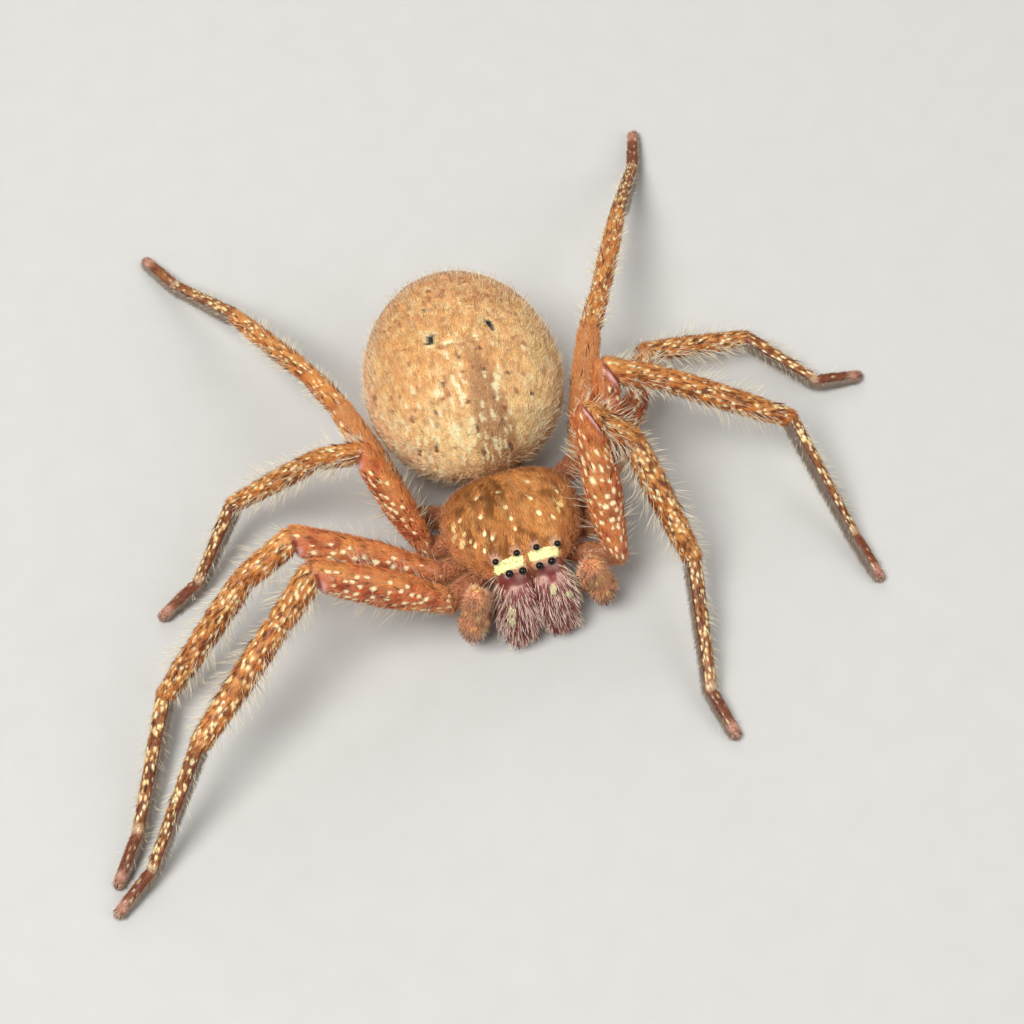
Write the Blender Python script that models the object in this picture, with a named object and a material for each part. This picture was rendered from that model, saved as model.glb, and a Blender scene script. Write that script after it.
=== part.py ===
"""A huntsman spider at life size, as a still museum model, in a resting pose with its legs drawn back.

Metres, +Z up. The head faces -Y and the spider's own left side is +X. The feet stand on z = 0, and
the origin is the middle of the whole model's box, on that floor.
"""

import math
import random

import bmesh
import bpy
from mathutils import Matrix, Vector

MM = 0.001
GAP = 0.3 * MM  # space kept between nodes that meet face to face
EYE_GAP = 0.05 * MM  # the same under the eyes, which are half a millimetre across
SIDES = {"left": 1, "right": -1}

# Front body: the domed carapace over a thick breast shield
CARAPACE_CENTRE_Y = -0.7 * MM
CARAPACE_HALF_WIDTH = 4.0 * MM
CARAPACE_FRONT = 3.95 * MM
CARAPACE_REAR = 2.8 * MM
CARAPACE_UNDERSIDE = 3.7 * MM
CARAPACE_RISE = 2.5 * MM
CARAPACE_RIM = 0.25 * MM
CARAPACE_SIDES = 32
CARAPACE_FRONT_POWER = 2.05  # 2 is a plain oval in plan, and more is squarer
CARAPACE_REAR_POWER = 2.5
TUBERCLE_HEIGHT = 0.1 * MM
BREAST_BOTTOM = 1.4 * MM
BREAST_TOP = CARAPACE_UNDERSIDE - GAP
BREAST_FACE = 0.42 * MM  # half the width of the upright face in front of each coxa
LIP_HEIGHT = 1.75 * MM
LIP_FORM = ((-3.95, 0.26), (-3.6, 0.33), (-3.3, 0.33))  # places along the body and half widths in mm
LIP_THICKNESS = 0.6 * MM

# Hind body
ABDOMEN_CENTRE = Vector((-0.1, 7.75, 5.3)) * MM
ABDOMEN_HALF_WIDTH = 5.78 * MM
ABDOMEN_HALF_HEIGHT = 4.95 * MM
ABDOMEN_FRONT = 5.85 * MM
ABDOMEN_REAR = 7.0 * MM
ABDOMEN_PITCH = math.radians(5.5)
ABDOMEN_YAW = math.radians(-5.5)
ABDOMEN_SIDES = 28
ABDOMEN_RINGS = 15
ABDOMEN_FRONT_POWER = 2.1
ABDOMEN_REAR_POWER = 1.95
WAIST_HEIGHT = 2.7 * MM
WAIST_RADIUS = 0.5 * MM
WAIST_END = ABDOMEN_CENTRE.y - ABDOMEN_FRONT + 0.25 * MM

# Spinnerets, round the facet at the low rear end: turn in degrees, reach, radius and length
SPINNERETS = (
    (40, 0.42 * MM, 0.27 * MM, 1.05 * MM),
    (140, 0.42 * MM, 0.27 * MM, 1.06 * MM),
    (90, 0.05 * MM, 0.2 * MM, 0.6 * MM),
    (270, 0.45 * MM, 0.27 * MM, 0.95 * MM),
    (220, 0.45 * MM, 0.27 * MM, 0.96 * MM),
)
SPINNERET_BASE_RADIUS = 0.95 * MM
SPINNERET_BASE_HEIGHT = 0.5 * MM

# Eyes: sideways place, distance in front of the carapace centre, radius
EYES = {
    "anterior_median": (0.48 * MM, 3.6 * MM, 0.23 * MM),
    "anterior_lateral": (1.2 * MM, 3.5 * MM, 0.25 * MM),
    "posterior_median": (0.56 * MM, 2.82 * MM, 0.2 * MM),
    "posterior_lateral": (1.75 * MM, 2.82 * MM, 0.22 * MM),
}

# Legs, front pair first: lengths of femur, patella, tibia, metatarsus and tarsus, and girth against pair 1
LEG_LENGTHS = {
    1: (8.6, 3.25, 7.75, 7.45, 2.6),
    2: (8.8, 3.45, 8.1, 7.7, 2.65),
    3: (7.6, 3.3, 6.4, 5.0, 2.55),
    4: (7.6, 3.35, 7.85, 6.5, 2.75),
}
LEG_GIRTH = {1: 1.0, 2: 0.97, 3: 0.83, 4: 0.79}

# Where each coxa leaves the breast shield, sideways and along the body
COXA_ROOTS = {1: (1.6, -2.55), 2: (1.95, -1.4), 3: (1.95, -0.25), 4: (1.6, 0.9)}
COXA_ROOT_HEIGHT = 2.35 * MM

# The pose. Hip in mm with x outwards, then degrees. Swing is the turn forward from straight out
# sideways, for femur, patella, tibia, metatarsus and tarsus. Pitch is the rise of the first three:
# the last two come down to the floor by themselves.
POSE = {
    ("right", 1): ((4.75, -4.1, 3.2), (-13, 31, 39, 46, 34), (35, -30, -12)),
    ("right", 2): ((4.7, -2.25, 2.8), (-21, 17, 31, 65, 53), (26, -19, -30)),
    ("right", 3): ((4.85, -0.4, 2.45), (-60, -31, -8, 44, 25), (54, -34, -35)),
    ("right", 4): ((5.1, 1.75, 2.5), (-69, -72, -66, -60, -65), (33, -14, -18)),
    ("left", 1): ((5.0, -4.25, 3.3), (-89, 28, 73, 101, 79), (52, -40, -39)),
    ("left", 2): ((4.75, -2.1, 3.0), (-68, 14, 25, 76, 79), (38, -23, -22)),
    ("left", 3): ((4.95, -0.4, 2.05), (-49, -65, 4, 51, 4), (8, -14, -9)),
    ("left", 4): ((4.95, 2.1, 2.85), (-66, -60, -62, -60, -70), (34, -19, -17)),
}
TARSUS_START_HEIGHT = 0.72 * MM
TARSUS_TIP_HEIGHT = 0.3 * MM

# Half widths and half heights along each leg segment of pair 1, as (share of the length, width, height)
COXA_FORM = ((0.0, 0.44, 0.6), (0.3, 0.52, 0.66), (0.62, 0.6, 0.7), (0.74, 0.6, 0.66), (1.0, 0.72, 0.74))
FEMUR_FORM = ((0.0, 0.74, 0.78), (0.2, 0.92, 0.98), (0.45, 1.12, 1.2), (0.75, 1.04, 1.08), (1.0, 0.9, 0.9))
PATELLA_FORM = ((0.0, 0.84, 0.84), (0.5, 0.84, 0.84))
TIBIA_FORM = ((0.0, 0.76, 0.76), (0.3, 0.82, 0.82), (0.7, 0.76, 0.76), (1.0, 0.66, 0.66))
METATARSUS_FORM = ((0.0, 0.56, 0.56), (0.35, 0.52, 0.52), (0.8, 0.46, 0.46))
TARSUS_FORM = ((0.0, 0.46, 0.45), (0.45, 0.45, 0.44), (0.86, 0.42, 0.4))

# Jaws, fangs and feelers
JAW_TOP = Vector((1.08, -4.1, 3.6)) * MM
JAW_TIP = Vector((1.32, -6.1, 1.25)) * MM
JAW_FORM = ((0.0, 0.9, 0.85), (0.3, 1.04, 0.96), (0.65, 1.0, 0.9), (1.0, 0.76, 0.62))
JAW_FRONT = Vector((0, -0.76, 0.65))
JAW_END_DEPTH = 0.45 * MM
FANG_LENGTH = 1.1 * MM
FANG_RADIUS = 0.26 * MM
FANG_WAY = Vector((-0.95, 0.35, -0.02))  # from its root inwards and back, for the left jaw
FANG_SAG = 0.25

# Locks of bristles on the jaws: rows down the jaw as (share of its length, degrees round from the front of
# the first and last lock, number of locks), with plus outwards. They fall forwards over the jaw's end.
JAW_LOCK_ROWS = ((0.34, -28, 66, 4), (0.56, -50, 76, 5), (0.78, -40, 80, 5), (0.97, -50, 80, 5))
JAW_LOCK_LENGTH = 1.35 * MM
PALP_LOCK_ROWS = ((0.12, -30, 110, 4), (0.45, -35, 120, 5), (0.8, -40, 130, 5), (0.99, -110, 150, 6))
PALP_LOCK_LENGTH = 0.8 * MM
LOCK_WIDTH = 0.62 * MM
LOCK_THICKNESS = 0.42 * MM
LOCK_ROOT_DEPTH = 0.3 * MM
LOCK_FLOOR = 0.3 * MM  # no lock comes lower than this
LOCK_SEED = 11

# Joints of each feeler in mm with x outwards: root, trochanter, knee, end of the tibia and tip
PALP_JOINTS = {
    "left": ((1.05, -3.5, 1.55), (2.95, -4.7, 1.5), (3.35, -5.1, 4.4), (3.75, -5.4, 2.9), (3.9, -5.6, 1.5)),
    "right": ((1.05, -3.5, 1.55), (2.95, -4.7, 1.5), (3.35, -5.0, 4.7), (3.7, -5.4, 3.1), (3.85, -5.6, 1.6)),
}
PALP_BASE_FORMS = (
    ((0.0, 0.4, 0.42), (0.5, 0.38, 0.4)),
    ((0.0, 0.38, 0.4), (0.5, 0.45, 0.45), (1.0, 0.48, 0.48)),
)
PALP_FORMS = (
    ((0.0, 0.5, 0.5), (0.5, 0.58, 0.56)),
    ((0.0, 0.64, 0.62), (0.5, 0.7, 0.68), (1.0, 0.5, 0.48)),
)

SHARP_ANGLE = math.radians(50)

MATERIALS = {
    "abdomen": ((0.66, 0.36, 0.14), 0.8),
    "carapace": ((0.51, 0.22, 0.07), 0.6),
    "leg": ((0.47, 0.13, 0.04), 0.65),
    "jaw": ((0.24, 0.06, 0.06), 0.5),
    "dark horn": ((0.02, 0.012, 0.01), 0.3),
    "eye": ((0.005, 0.004, 0.004), 0.08),
    "breast": ((0.35, 0.13, 0.06), 0.7),
}


def clear_scene():
    for item in list(bpy.data.objects):
        bpy.data.objects.remove(item, do_unlink=True)


def material(name):
    found = bpy.data.materials.get(name)
    if found:
        return found
    colour, roughness = MATERIALS[name]
    made = bpy.data.materials.new(name)
    made.use_nodes = True
    shader = made.node_tree.nodes["Principled BSDF"]
    shader.inputs["Base Color"].default_value = (*colour, 1.0)
    shader.inputs["Roughness"].default_value = roughness
    return made


def shade(data):
    """Smooth over gentle bends and crisp at edges."""
    data.shade_smooth()
    data.set_sharp_from_angle(angle=SHARP_ANGLE)


def as_object(name, mesh, look):
    """An object from a bmesh, with its faces turned out and shaded smooth."""
    bmesh.ops.recalc_face_normals(mesh, faces=mesh.faces[:])
    data = bpy.data.meshes.new(name)
    mesh.to_mesh(data)
    mesh.free()
    made = bpy.data.objects.new(name, data)
    bpy.context.scene.collection.objects.link(made)
    data.materials.append(material(look))
    shade(data)
    return made


def loft(rings, first_pole=None, last_pole=None):
    """A closed mesh through rings of equal count. An end without a pole is one flat face."""
    mesh = bmesh.new()
    rows = [[mesh.verts.new(point) for point in ring] for ring in rings]
    count = len(rings[0])
    for row, following in zip(rows, rows[1:]):
        for i in range(count):
            j = (i + 1) % count
            mesh.faces.new((row[i], row[j], following[j], following[i]))
    for row, pole in ((rows[0], first_pole), (rows[-1], last_pole)):
        if pole is None:
            mesh.faces.new(row)
            continue
        point = mesh.verts.new(pole)
        for i in range(count):
            mesh.faces.new((row[i], row[(i + 1) % count], point))
    return mesh


def oval(centre, axis, half_width, half_height, sides):
    """Points of an oval ring across an axis, its width level and its height in the upright plane."""
    across = axis.cross(Vector((0, 0, 1))).normalized()
    upwards = across.cross(axis).normalized()
    ring = []
    for i in range(sides):
        turn = 2 * math.pi * (i + 0.5) / sides
        sideways = across * (half_width * math.cos(turn))
        ring.append(centre + sideways + upwards * (half_height * math.sin(turn)))
    return ring


def tube(points, forms, girth, sides, dome_turns=(35, 65)):
    """A limb through two or more joints, with a rounded end round its first and last joint."""
    rings = []
    runs = list(zip(points, points[1:]))
    for run, ((start, end), form) in enumerate(zip(runs, forms)):
        axis = (end - start).normalized()
        for share, width, height in form:
            lean = axis
            if share == 0.0 and run > 0:
                before = (runs[run - 1][1] - runs[run - 1][0]).normalized()
                lean = (axis + before).normalized()
            centre = start.lerp(end, share)
            rings.append((centre, lean, width * girth * MM, height * girth * MM))

    def dome(ring, direction):
        centre, lean, width, height = ring
        made = []
        for turn in dome_turns:
            low = math.sin(math.radians(turn))
            out = math.cos(math.radians(turn))
            reach = direction * (out * max(width, height))
            made.append((centre + reach, lean, width * low, height * low))
        return made, centre + direction * max(width, height)

    first_dome, first_pole = dome(rings[0], -rings[0][1])
    last_dome, last_pole = dome(rings[-1], rings[-1][1])
    stations = first_dome + rings + last_dome[::-1]
    return loft([oval(*station, sides) for station in stations], first_pole, last_pole)


def cut(mesh, point, normal):
    """Takes off what lies past a plane, on the side its normal points to, and closes the cut flat."""
    geometry = mesh.verts[:] + mesh.edges[:] + mesh.faces[:]
    bmesh.ops.bisect_plane(mesh, geom=geometry, dist=1e-9, plane_co=point, plane_no=normal, clear_outer=True)
    rim = [edge for edge in mesh.edges if edge.is_boundary]
    if rim:
        bmesh.ops.contextual_create(mesh, geom=rim)
    return mesh


def mitre(points, joint):
    """The plane halfway round the bend at a joint, as its point and the way onwards."""
    before = (points[joint] - points[joint - 1]).normalized()
    after = (points[joint + 1] - points[joint]).normalized()
    return points[joint], (before + after).normalized()


def largest_body(mesh):
    """Keeps the largest closed surface of a mesh, and drops loose scraps."""
    left = set(mesh.faces)
    bodies = []
    while left:
        stack = [left.pop()]
        body = set(stack)
        while stack:
            for edge in stack.pop().edges:
                for face in edge.link_faces:
                    if face in left:
                        left.discard(face)
                        body.add(face)
                        stack.append(face)
        bodies.append(body)
    keep = max(bodies, key=lambda body: sum(face.calc_area() for face in body))
    extra = [face for body in bodies if body is not keep for face in body]
    bmesh.ops.delete(mesh, geom=extra, context="FACES")


def fuse(base, pieces):
    """Joins closed pieces to a base object with one Boolean union, which is applied."""
    group = bpy.data.collections.new(base.name + " pieces")
    bpy.context.scene.collection.children.link(group)
    for piece in pieces:
        bpy.context.scene.collection.objects.unlink(piece)
        group.objects.link(piece)
    union = base.modifiers.new("union", "BOOLEAN")
    union.operation = "UNION"
    union.operand_type = "COLLECTION"
    union.collection = group
    apply_boolean(base, pieces)
    bpy.data.collections.remove(group)


def apply_boolean(base, pieces):
    """Applies a Boolean, removes the pieces it used, and keeps one clean closed body."""
    bpy.context.view_layer.update()
    evaluated = base.evaluated_get(bpy.context.evaluated_depsgraph_get())
    joined = bmesh.new()
    joined.from_mesh(evaluated.to_mesh())
    evaluated.to_mesh_clear()
    base.modifiers.clear()
    for piece in pieces:
        bpy.data.objects.remove(piece, do_unlink=True)
    bmesh.ops.remove_doubles(joined, verts=joined.verts[:], dist=1e-7)
    bmesh.ops.dissolve_degenerate(joined, edges=joined.edges[:], dist=1e-7)
    largest_body(joined)
    joined.to_mesh(base.data)
    joined.free()
    shade(base.data)


def mirrored(point, side):
    return Vector((point[0] * side, point[1], point[2]))


def carapace_outline(turn):
    """Distance from the carapace's upright axis to its rim. Turn 0 is +X and a quarter turn is the rear."""
    across, along = abs(math.cos(turn)), math.sin(turn)
    reach, power = CARAPACE_FRONT, CARAPACE_FRONT_POWER
    if along > 0:
        reach, power = CARAPACE_REAR, CARAPACE_REAR_POWER
    inverse = (across / CARAPACE_HALF_WIDTH) ** power + (abs(along) / reach) ** power
    return inverse ** (-1 / power)


def carapace_point(turn, share):
    """A point of the dome, at a share of the way from its crown to its rim."""
    radius = carapace_outline(turn) * share
    rise = CARAPACE_RISE * math.sqrt(max(0.0, 1 - share**2))
    return Vector((radius * math.cos(turn), CARAPACE_CENTRE_Y + radius * math.sin(turn),
                   CARAPACE_UNDERSIDE + CARAPACE_RIM + rise * (1 - CARAPACE_RIM / CARAPACE_RISE)))


def on_carapace(x, forward):
    """A point of the dome over a place in plan, and the way out of the surface there."""
    turn = math.atan2(-forward, x)
    share = math.hypot(x, forward) / carapace_outline(turn)
    point = carapace_point(turn, share)
    step = 0.02
    around = carapace_point(turn + step, share) - carapace_point(turn - step, share)
    inwards = carapace_point(turn, share - step) - carapace_point(turn, share + step)
    return point, inwards.cross(around).normalized() * -1


def make_carapace():
    rings = []
    turns = [2 * math.pi * i / CARAPACE_SIDES for i in range(CARAPACE_SIDES)]
    lower = [carapace_point(turn, 1.0) for turn in turns]
    centre = Vector((0, CARAPACE_CENTRE_Y, 0))
    under = [centre + (p - centre) * 0.97 for p in lower]
    rings.append([Vector((p.x, p.y, CARAPACE_UNDERSIDE)) for p in under])
    for share in (1.0, 0.96, 0.88, 0.76, 0.6, 0.42, 0.22):
        rings.append([carapace_point(turn, share) for turn in turns])
    body = as_object("carapace", loft(rings, None, carapace_point(0.0, 0.0)), "carapace")
    fuse(body, [eye_tubercle(*EYES[name], side) for name in EYES for side in SIDES.values()])
    return body


def turned(mesh, point, outwards):
    """Stands a mesh made round +Z at the origin on a point, along a direction."""
    turn = outwards.to_track_quat("Z", "Y").to_matrix().to_4x4()
    bmesh.ops.transform(mesh, matrix=Matrix.Translation(point) @ turn, verts=mesh.verts[:])
    return mesh


def rings_round_axis(stations, sides):
    """Level rings round +Z, from (height, radius) pairs."""
    rings = []
    turns = [2 * math.pi * i / sides for i in range(sides)]
    for height, radius in stations:
        rings.append([Vector((radius * math.cos(turn), radius * math.sin(turn), height)) for turn in turns])
    return rings


def eye_tubercle(x, forward, radius, side):
    point, outwards = on_carapace(x * side, forward)
    stations = ((-0.5 * radius - 0.1 * MM, radius * 1.3), (TUBERCLE_HEIGHT, radius * 1.08))
    mesh = loft(rings_round_axis(stations, 10))
    return as_object("tubercle", turned(mesh, point, outwards), "carapace")


def make_eye(name, x, forward, radius, side_name):
    point, outwards = on_carapace(x * SIDES[side_name], forward)
    base = TUBERCLE_HEIGHT + EYE_GAP
    stations = [(base + radius * math.sin(a) * 0.9, radius * math.cos(a)) for a in (0.0, 0.45, 0.95)]
    mesh = loft(rings_round_axis(stations, 8), None, Vector((0, 0, base + radius * 0.9)))
    return as_object(f"eye_{name}_{side_name}", turned(mesh, point, outwards), "eye")


def coxa_line(side_name, pair):
    side = SIDES[side_name]
    x, y = COXA_ROOTS[pair]
    root = Vector((x * MM * side, y * MM, COXA_ROOT_HEIGHT))
    hip = mirrored(Vector(POSE[side_name, pair][0]) * MM, side)
    return root, hip


def make_breast():
    """The thick shield between the legs, with one upright face for each coxa."""
    outline = []
    for side_name, pairs in (("left", (1, 2, 3, 4)), ("right", (4, 3, 2, 1))):
        for pair in pairs:
            root, hip = coxa_line(side_name, pair)
            outwards = Vector((hip.x - root.x, hip.y - root.y, 0)).normalized()
            along = Vector((-outwards.y, outwards.x, 0))
            outline += [root - along * BREAST_FACE, root + along * BREAST_FACE]
    rings = []
    for height, share in ((BREAST_BOTTOM - 0.1 * MM, 0.6), (BREAST_BOTTOM + 0.15 * MM, 0.92),
                          (BREAST_BOTTOM + 0.45 * MM, 1.0), (BREAST_TOP, 1.0)):
        rings.append([Vector((p.x * share, CARAPACE_CENTRE_Y + (p.y - CARAPACE_CENTRE_Y) * share, height))
                      for p in outline])
    return as_object("sternum", loft(rings), "breast")


def make_waist():
    start = max(point[1] for point in COXA_ROOTS.values()) * MM + BREAST_FACE + GAP
    end = WAIST_END - GAP
    mesh = loft([oval(Vector((0, y, WAIST_HEIGHT)), Vector((0, 1, 0)), WAIST_RADIUS, WAIST_RADIUS, 12)
                 for y in (start, end)])
    return as_object("pedicel", mesh, "breast")


def abdomen_place():
    """The turn and place of the hind body, from its own upright frame."""
    tilt = Matrix.Rotation(ABDOMEN_YAW, 4, "Z") @ Matrix.Rotation(ABDOMEN_PITCH, 4, "X")
    return Matrix.Translation(ABDOMEN_CENTRE) @ tilt


def abdomen_point(turn, lie):
    """Lie runs from -1 at the front pole to 1 at the rear pole, and turn goes round the long axis."""
    length = ABDOMEN_FRONT if lie < 0 else ABDOMEN_REAR
    power = ABDOMEN_FRONT_POWER if lie < 0 else ABDOMEN_REAR_POWER
    girth = math.sqrt(1 - abs(lie) ** power)
    return Vector((ABDOMEN_HALF_WIDTH * girth * math.cos(turn), length * lie,
                   ABDOMEN_HALF_HEIGHT * girth * math.sin(turn)))


def dent(body):
    """Presses the carapace, grown by the gap, into the front of the abdomen."""
    turns = [2 * math.pi * i / 24 for i in range(24)]
    rings = [[carapace_point(turn, 1.0) for turn in turns] for _ in range(2)]
    rings += [[carapace_point(turn, share) for turn in turns] for share in (0.9, 0.7, 0.45, 0.2)]
    centre = Vector((0, CARAPACE_CENTRE_Y, CARAPACE_UNDERSIDE))
    growth = 1 + 1.3 * GAP / CARAPACE_REAR
    for number, ring in enumerate(rings):
        for point in ring:
            out = (point - centre) * growth
            point.x, point.y, point.z = centre + out
            if number == 0:
                point.z = CARAPACE_UNDERSIDE - 1.2 * GAP
    crown = centre + (carapace_point(0.0, 0.0) - centre) * growth
    cutter = as_object("dent", loft(rings, None, crown), "abdomen")
    difference = body.modifiers.new("dent", "BOOLEAN")
    difference.operation = "DIFFERENCE"
    difference.object = cutter
    apply_boolean(body, [cutter])


def make_abdomen():
    turns = [2 * math.pi * (i + 0.5) / ABDOMEN_SIDES for i in range(ABDOMEN_SIDES)]
    half = (ABDOMEN_RINGS + 1) // 2
    lies = [math.sin(math.pi / 2 * step / half) for step in range(1 - half, half)]
    rings = [[abdomen_point(turn, lie) for turn in turns] for lie in lies]
    mesh = loft(rings, Vector((0, -ABDOMEN_FRONT, 0)), Vector((0, ABDOMEN_REAR, 0)))
    bmesh.ops.transform(mesh, matrix=abdomen_place(), verts=mesh.verts[:])
    cut(mesh, *spinneret_face())
    body = as_object("abdomen", mesh, "abdomen")
    dent(body)
    radius = WAIST_RADIUS * 1.1
    stub = loft([oval(Vector((0, y, WAIST_HEIGHT)), Vector((0, 1, 0)), radius, radius, 12)
                 for y in (WAIST_END, WAIST_END + ABDOMEN_FRONT / 2)])
    fuse(body, [as_object("stub", stub, "abdomen")])
    return body


def spinneret_face():
    """The small flat at the low rear end of the abdomen, as its point and the way out."""
    place = abdomen_place()
    point = place @ abdomen_point(math.radians(270), 0.9)
    return point, (place.to_3x3() @ Vector((0, 0.89, -0.45))).normalized()


def make_spinnerets():
    point, outwards = spinneret_face()
    top = GAP + SPINNERET_BASE_HEIGHT
    base = loft(rings_round_axis(((GAP, SPINNERET_BASE_RADIUS), (top, SPINNERET_BASE_RADIUS * 0.84)), 12))
    body = as_object("spinnerets", turned(base, point, outwards), "abdomen")
    cones = []
    for turn, reach, radius, length in SPINNERETS:
        turn = math.radians(turn)
        place = Vector((math.cos(turn) * reach, math.sin(turn) * reach, 0))
        stations = ((GAP + SPINNERET_BASE_HEIGHT * 0.4, radius), (GAP + length * 0.7, radius * 0.9))
        rings = [[corner + place for corner in ring] for ring in rings_round_axis(stations, 8)]
        cone = loft(rings, None, place + Vector((0, 0, GAP + length)))
        cones.append(as_object("cone", turned(cone, point, outwards), "abdomen"))
    fuse(body, cones)
    return body


def direction(side, swing, pitch):
    """The way a leg segment runs, from its swing and pitch in degrees."""
    swing, pitch = math.radians(swing), math.radians(pitch)
    level = Vector((side * math.cos(swing), -math.sin(swing), 0))
    return level * math.cos(pitch) + Vector((0, 0, math.sin(pitch)))


def leg_joints(side_name, pair):
    """Hip, knee, patella end, tibia end, metatarsus end and tarsus tip of one leg."""
    side = SIDES[side_name]
    hip, swings, pitches = POSE[side_name, pair]
    lengths = [length * MM for length in LEG_LENGTHS[pair]]
    points = [mirrored(Vector(hip) * MM, side)]
    for length, swing, pitch in zip(lengths, swings, pitches):
        points.append(points[-1] + direction(side, swing, pitch) * length)
    for length, swing, height in zip(lengths[3:], swings[3:], (TARSUS_START_HEIGHT, TARSUS_TIP_HEIGHT)):
        pitch = math.degrees(math.asin((height - points[-1].z) / length))
        points.append(points[-1] + direction(side, swing, pitch) * length)
    return points


def make_leg(side_name, pair):
    name = f"leg{pair}_{side_name}"
    girth = LEG_GIRTH[pair]
    joints = leg_joints(side_name, pair)
    root, hip = coxa_line(side_name, pair)
    outwards = (hip - root).normalized()
    level = Vector((outwards.x, outwards.y, 0)).normalized()

    line = [root, joints[0], joints[1]]
    mesh = tube([root - level * 0.3 * MM, hip], [COXA_FORM], 1.0, 10)
    cut(mesh, root + level * GAP, -level)
    point, onwards = mitre(line, 1)
    cut(mesh, point - onwards * (GAP / 2), onwards)
    as_object(name + "_coxa", mesh, "leg")

    mesh = tube(joints[0:2], [FEMUR_FORM], girth, 10)
    cut(mesh, point + onwards * (GAP / 2), -onwards)
    point, onwards = mitre(joints, 1)
    cut(mesh, point - onwards * (GAP / 2), onwards)
    as_object(name + "_femur", mesh, "leg")

    mesh = tube(joints[1:4], [PATELLA_FORM, TIBIA_FORM], girth, 10)
    cut(mesh, point + onwards * (GAP / 2), -onwards)
    point, onwards = mitre(joints, 3)
    cut(mesh, point - onwards * (GAP / 2), onwards)
    as_object(name + "_tibia", mesh, "leg")

    mesh = tube(joints[3:6], [METATARSUS_FORM, TARSUS_FORM], 1.0, 8, (50,))
    cut(mesh, point + onwards * (GAP / 2), -onwards)
    cut(mesh, Vector((0, 0, 0)), Vector((0, 0, -1)))
    as_object(name + "_foot", mesh, "leg")


def lock(root, outwards, lie, length, least_x=None):
    """A flat, tapered lock of bristles that leaves a surface and bends over along its lie.

    With least_x it keeps that far to its own side of the body's middle.
    """
    across = outwards.cross(lie).normalized()
    side = 1 if root.x > 0 else -1
    rings = []
    tip = None
    for share, width, thickness in ((0.0, 0.8, 0.9), (0.3, 1.0, 1.0), (0.65, 0.72, 0.6), (1.0, 0.0, 0.0)):
        lift = length * (0.62 * share - 0.34 * share**2)
        centre = root + outwards * lift + lie * (length * share**1.25)
        if share == 0.0:
            centre -= outwards * LOCK_ROOT_DEPTH
        half_width = width * LOCK_WIDTH / 2
        if least_x is not None:
            centre.x = side * max(centre.x * side, least_x + abs(across.x) * half_width + 0.1 * MM * width)
        centre.z = max(centre.z, LOCK_FLOOR + thickness * LOCK_THICKNESS / 2)
        if width == 0.0:
            tip = centre
            break
        half_thickness = thickness * LOCK_THICKNESS / 2
        rings.append([centre + across * half_width, centre + outwards * half_thickness,
                      centre - across * half_width, centre - outwards * half_thickness])
    return loft(rings, None, tip)


def locks_on_limb(start, end, front, form, rows, length, least_x=None):
    """Rows of locks round a limb, as objects. Front is the way that turn 0 faces."""
    draw = random.Random(LOCK_SEED)
    axis = (end - start).normalized()
    ahead = (front - axis * front.dot(axis)).normalized()
    outer = Vector((1 if start.x > 0 else -1, 0, 0))
    outer = (outer - axis * outer.dot(axis) - ahead * outer.dot(ahead)).normalized()
    made = []
    for row, (share, first, last, count) in enumerate(rows):
        for number in range(count):
            turn = first + (last - first) * (number + draw.uniform(-0.15, 0.15)) / (count - 1)
            turn = math.radians(turn + (8 if row % 2 else -8))
            outwards = ahead * math.cos(turn) + outer * math.sin(turn)
            place = min(0.999, max(0.0, share + draw.uniform(-0.04, 0.04)))
            radius = limb_radius(form, place)
            root = start.lerp(end, place) + outwards * (radius * 0.93)
            lie = (axis + outer * (0.25 * math.sin(turn))).normalized()
            grown = length * draw.uniform(0.85, 1.12)
            made.append(as_object("lock", lock(root, outwards, lie, grown, least_x), "jaw"))
    return made


def limb_radius(form, place):
    """The mean of a limb's half width and half height at a share of its length."""
    for (before, width, height), (after, next_width, next_height) in zip(form, form[1:]):
        if place <= after:
            blend = (place - before) / (after - before)
            return ((width + height) * (1 - blend) + (next_width + next_height) * blend) / 2 * MM
    return (form[-1][1] + form[-1][2]) / 2 * MM


def make_jaw(side_name):
    side = SIDES[side_name]
    top, tip = mirrored(JAW_TOP, side), mirrored(JAW_TIP, side)
    low = JAW_TIP.z - JAW_END_DEPTH
    mesh = tube([top, tip], [JAW_FORM], 1.0, 14)
    cut(mesh, Vector((0, 0, CARAPACE_UNDERSIDE - GAP)), Vector((0, 0, 1)))
    cut(mesh, Vector((side * GAP / 2, 0, 0)), Vector((-side, 0, 0)))
    cut(mesh, Vector((0, 0, low)), Vector((0, 0, -1)))
    jaw = as_object(f"chelicera_{side_name}", mesh, "jaw")
    fuse(jaw, locks_on_limb(top, tip, JAW_FRONT, JAW_FORM, JAW_LOCK_ROWS, JAW_LOCK_LENGTH, GAP / 2))
    make_fang(side_name, Vector((tip.x, tip.y, low - GAP)))


def make_fang(side_name, root):
    """A curved fang folded inwards under the jaw, flat where it meets the jaw's end."""
    side = SIDES[side_name]
    start = root + Vector((0.15 * side, 0.1, 0)) * MM
    way = mirrored(FANG_WAY, side)
    rings = []
    for share in (0.0, 0.25, 0.5, 0.75):
        sag = Vector((0, 0, -FANG_SAG * math.sin(math.pi * share)))
        radius = FANG_RADIUS * (1 - 0.75 * share)
        rings.append(oval(start + (way * share + sag) * FANG_LENGTH, way, radius, radius, 8))
    mesh = loft(rings, None, start + way * FANG_LENGTH)
    cut(mesh, root, Vector((0, 0, 1)))
    as_object(f"fang_{side_name}", mesh, "dark horn")


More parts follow.
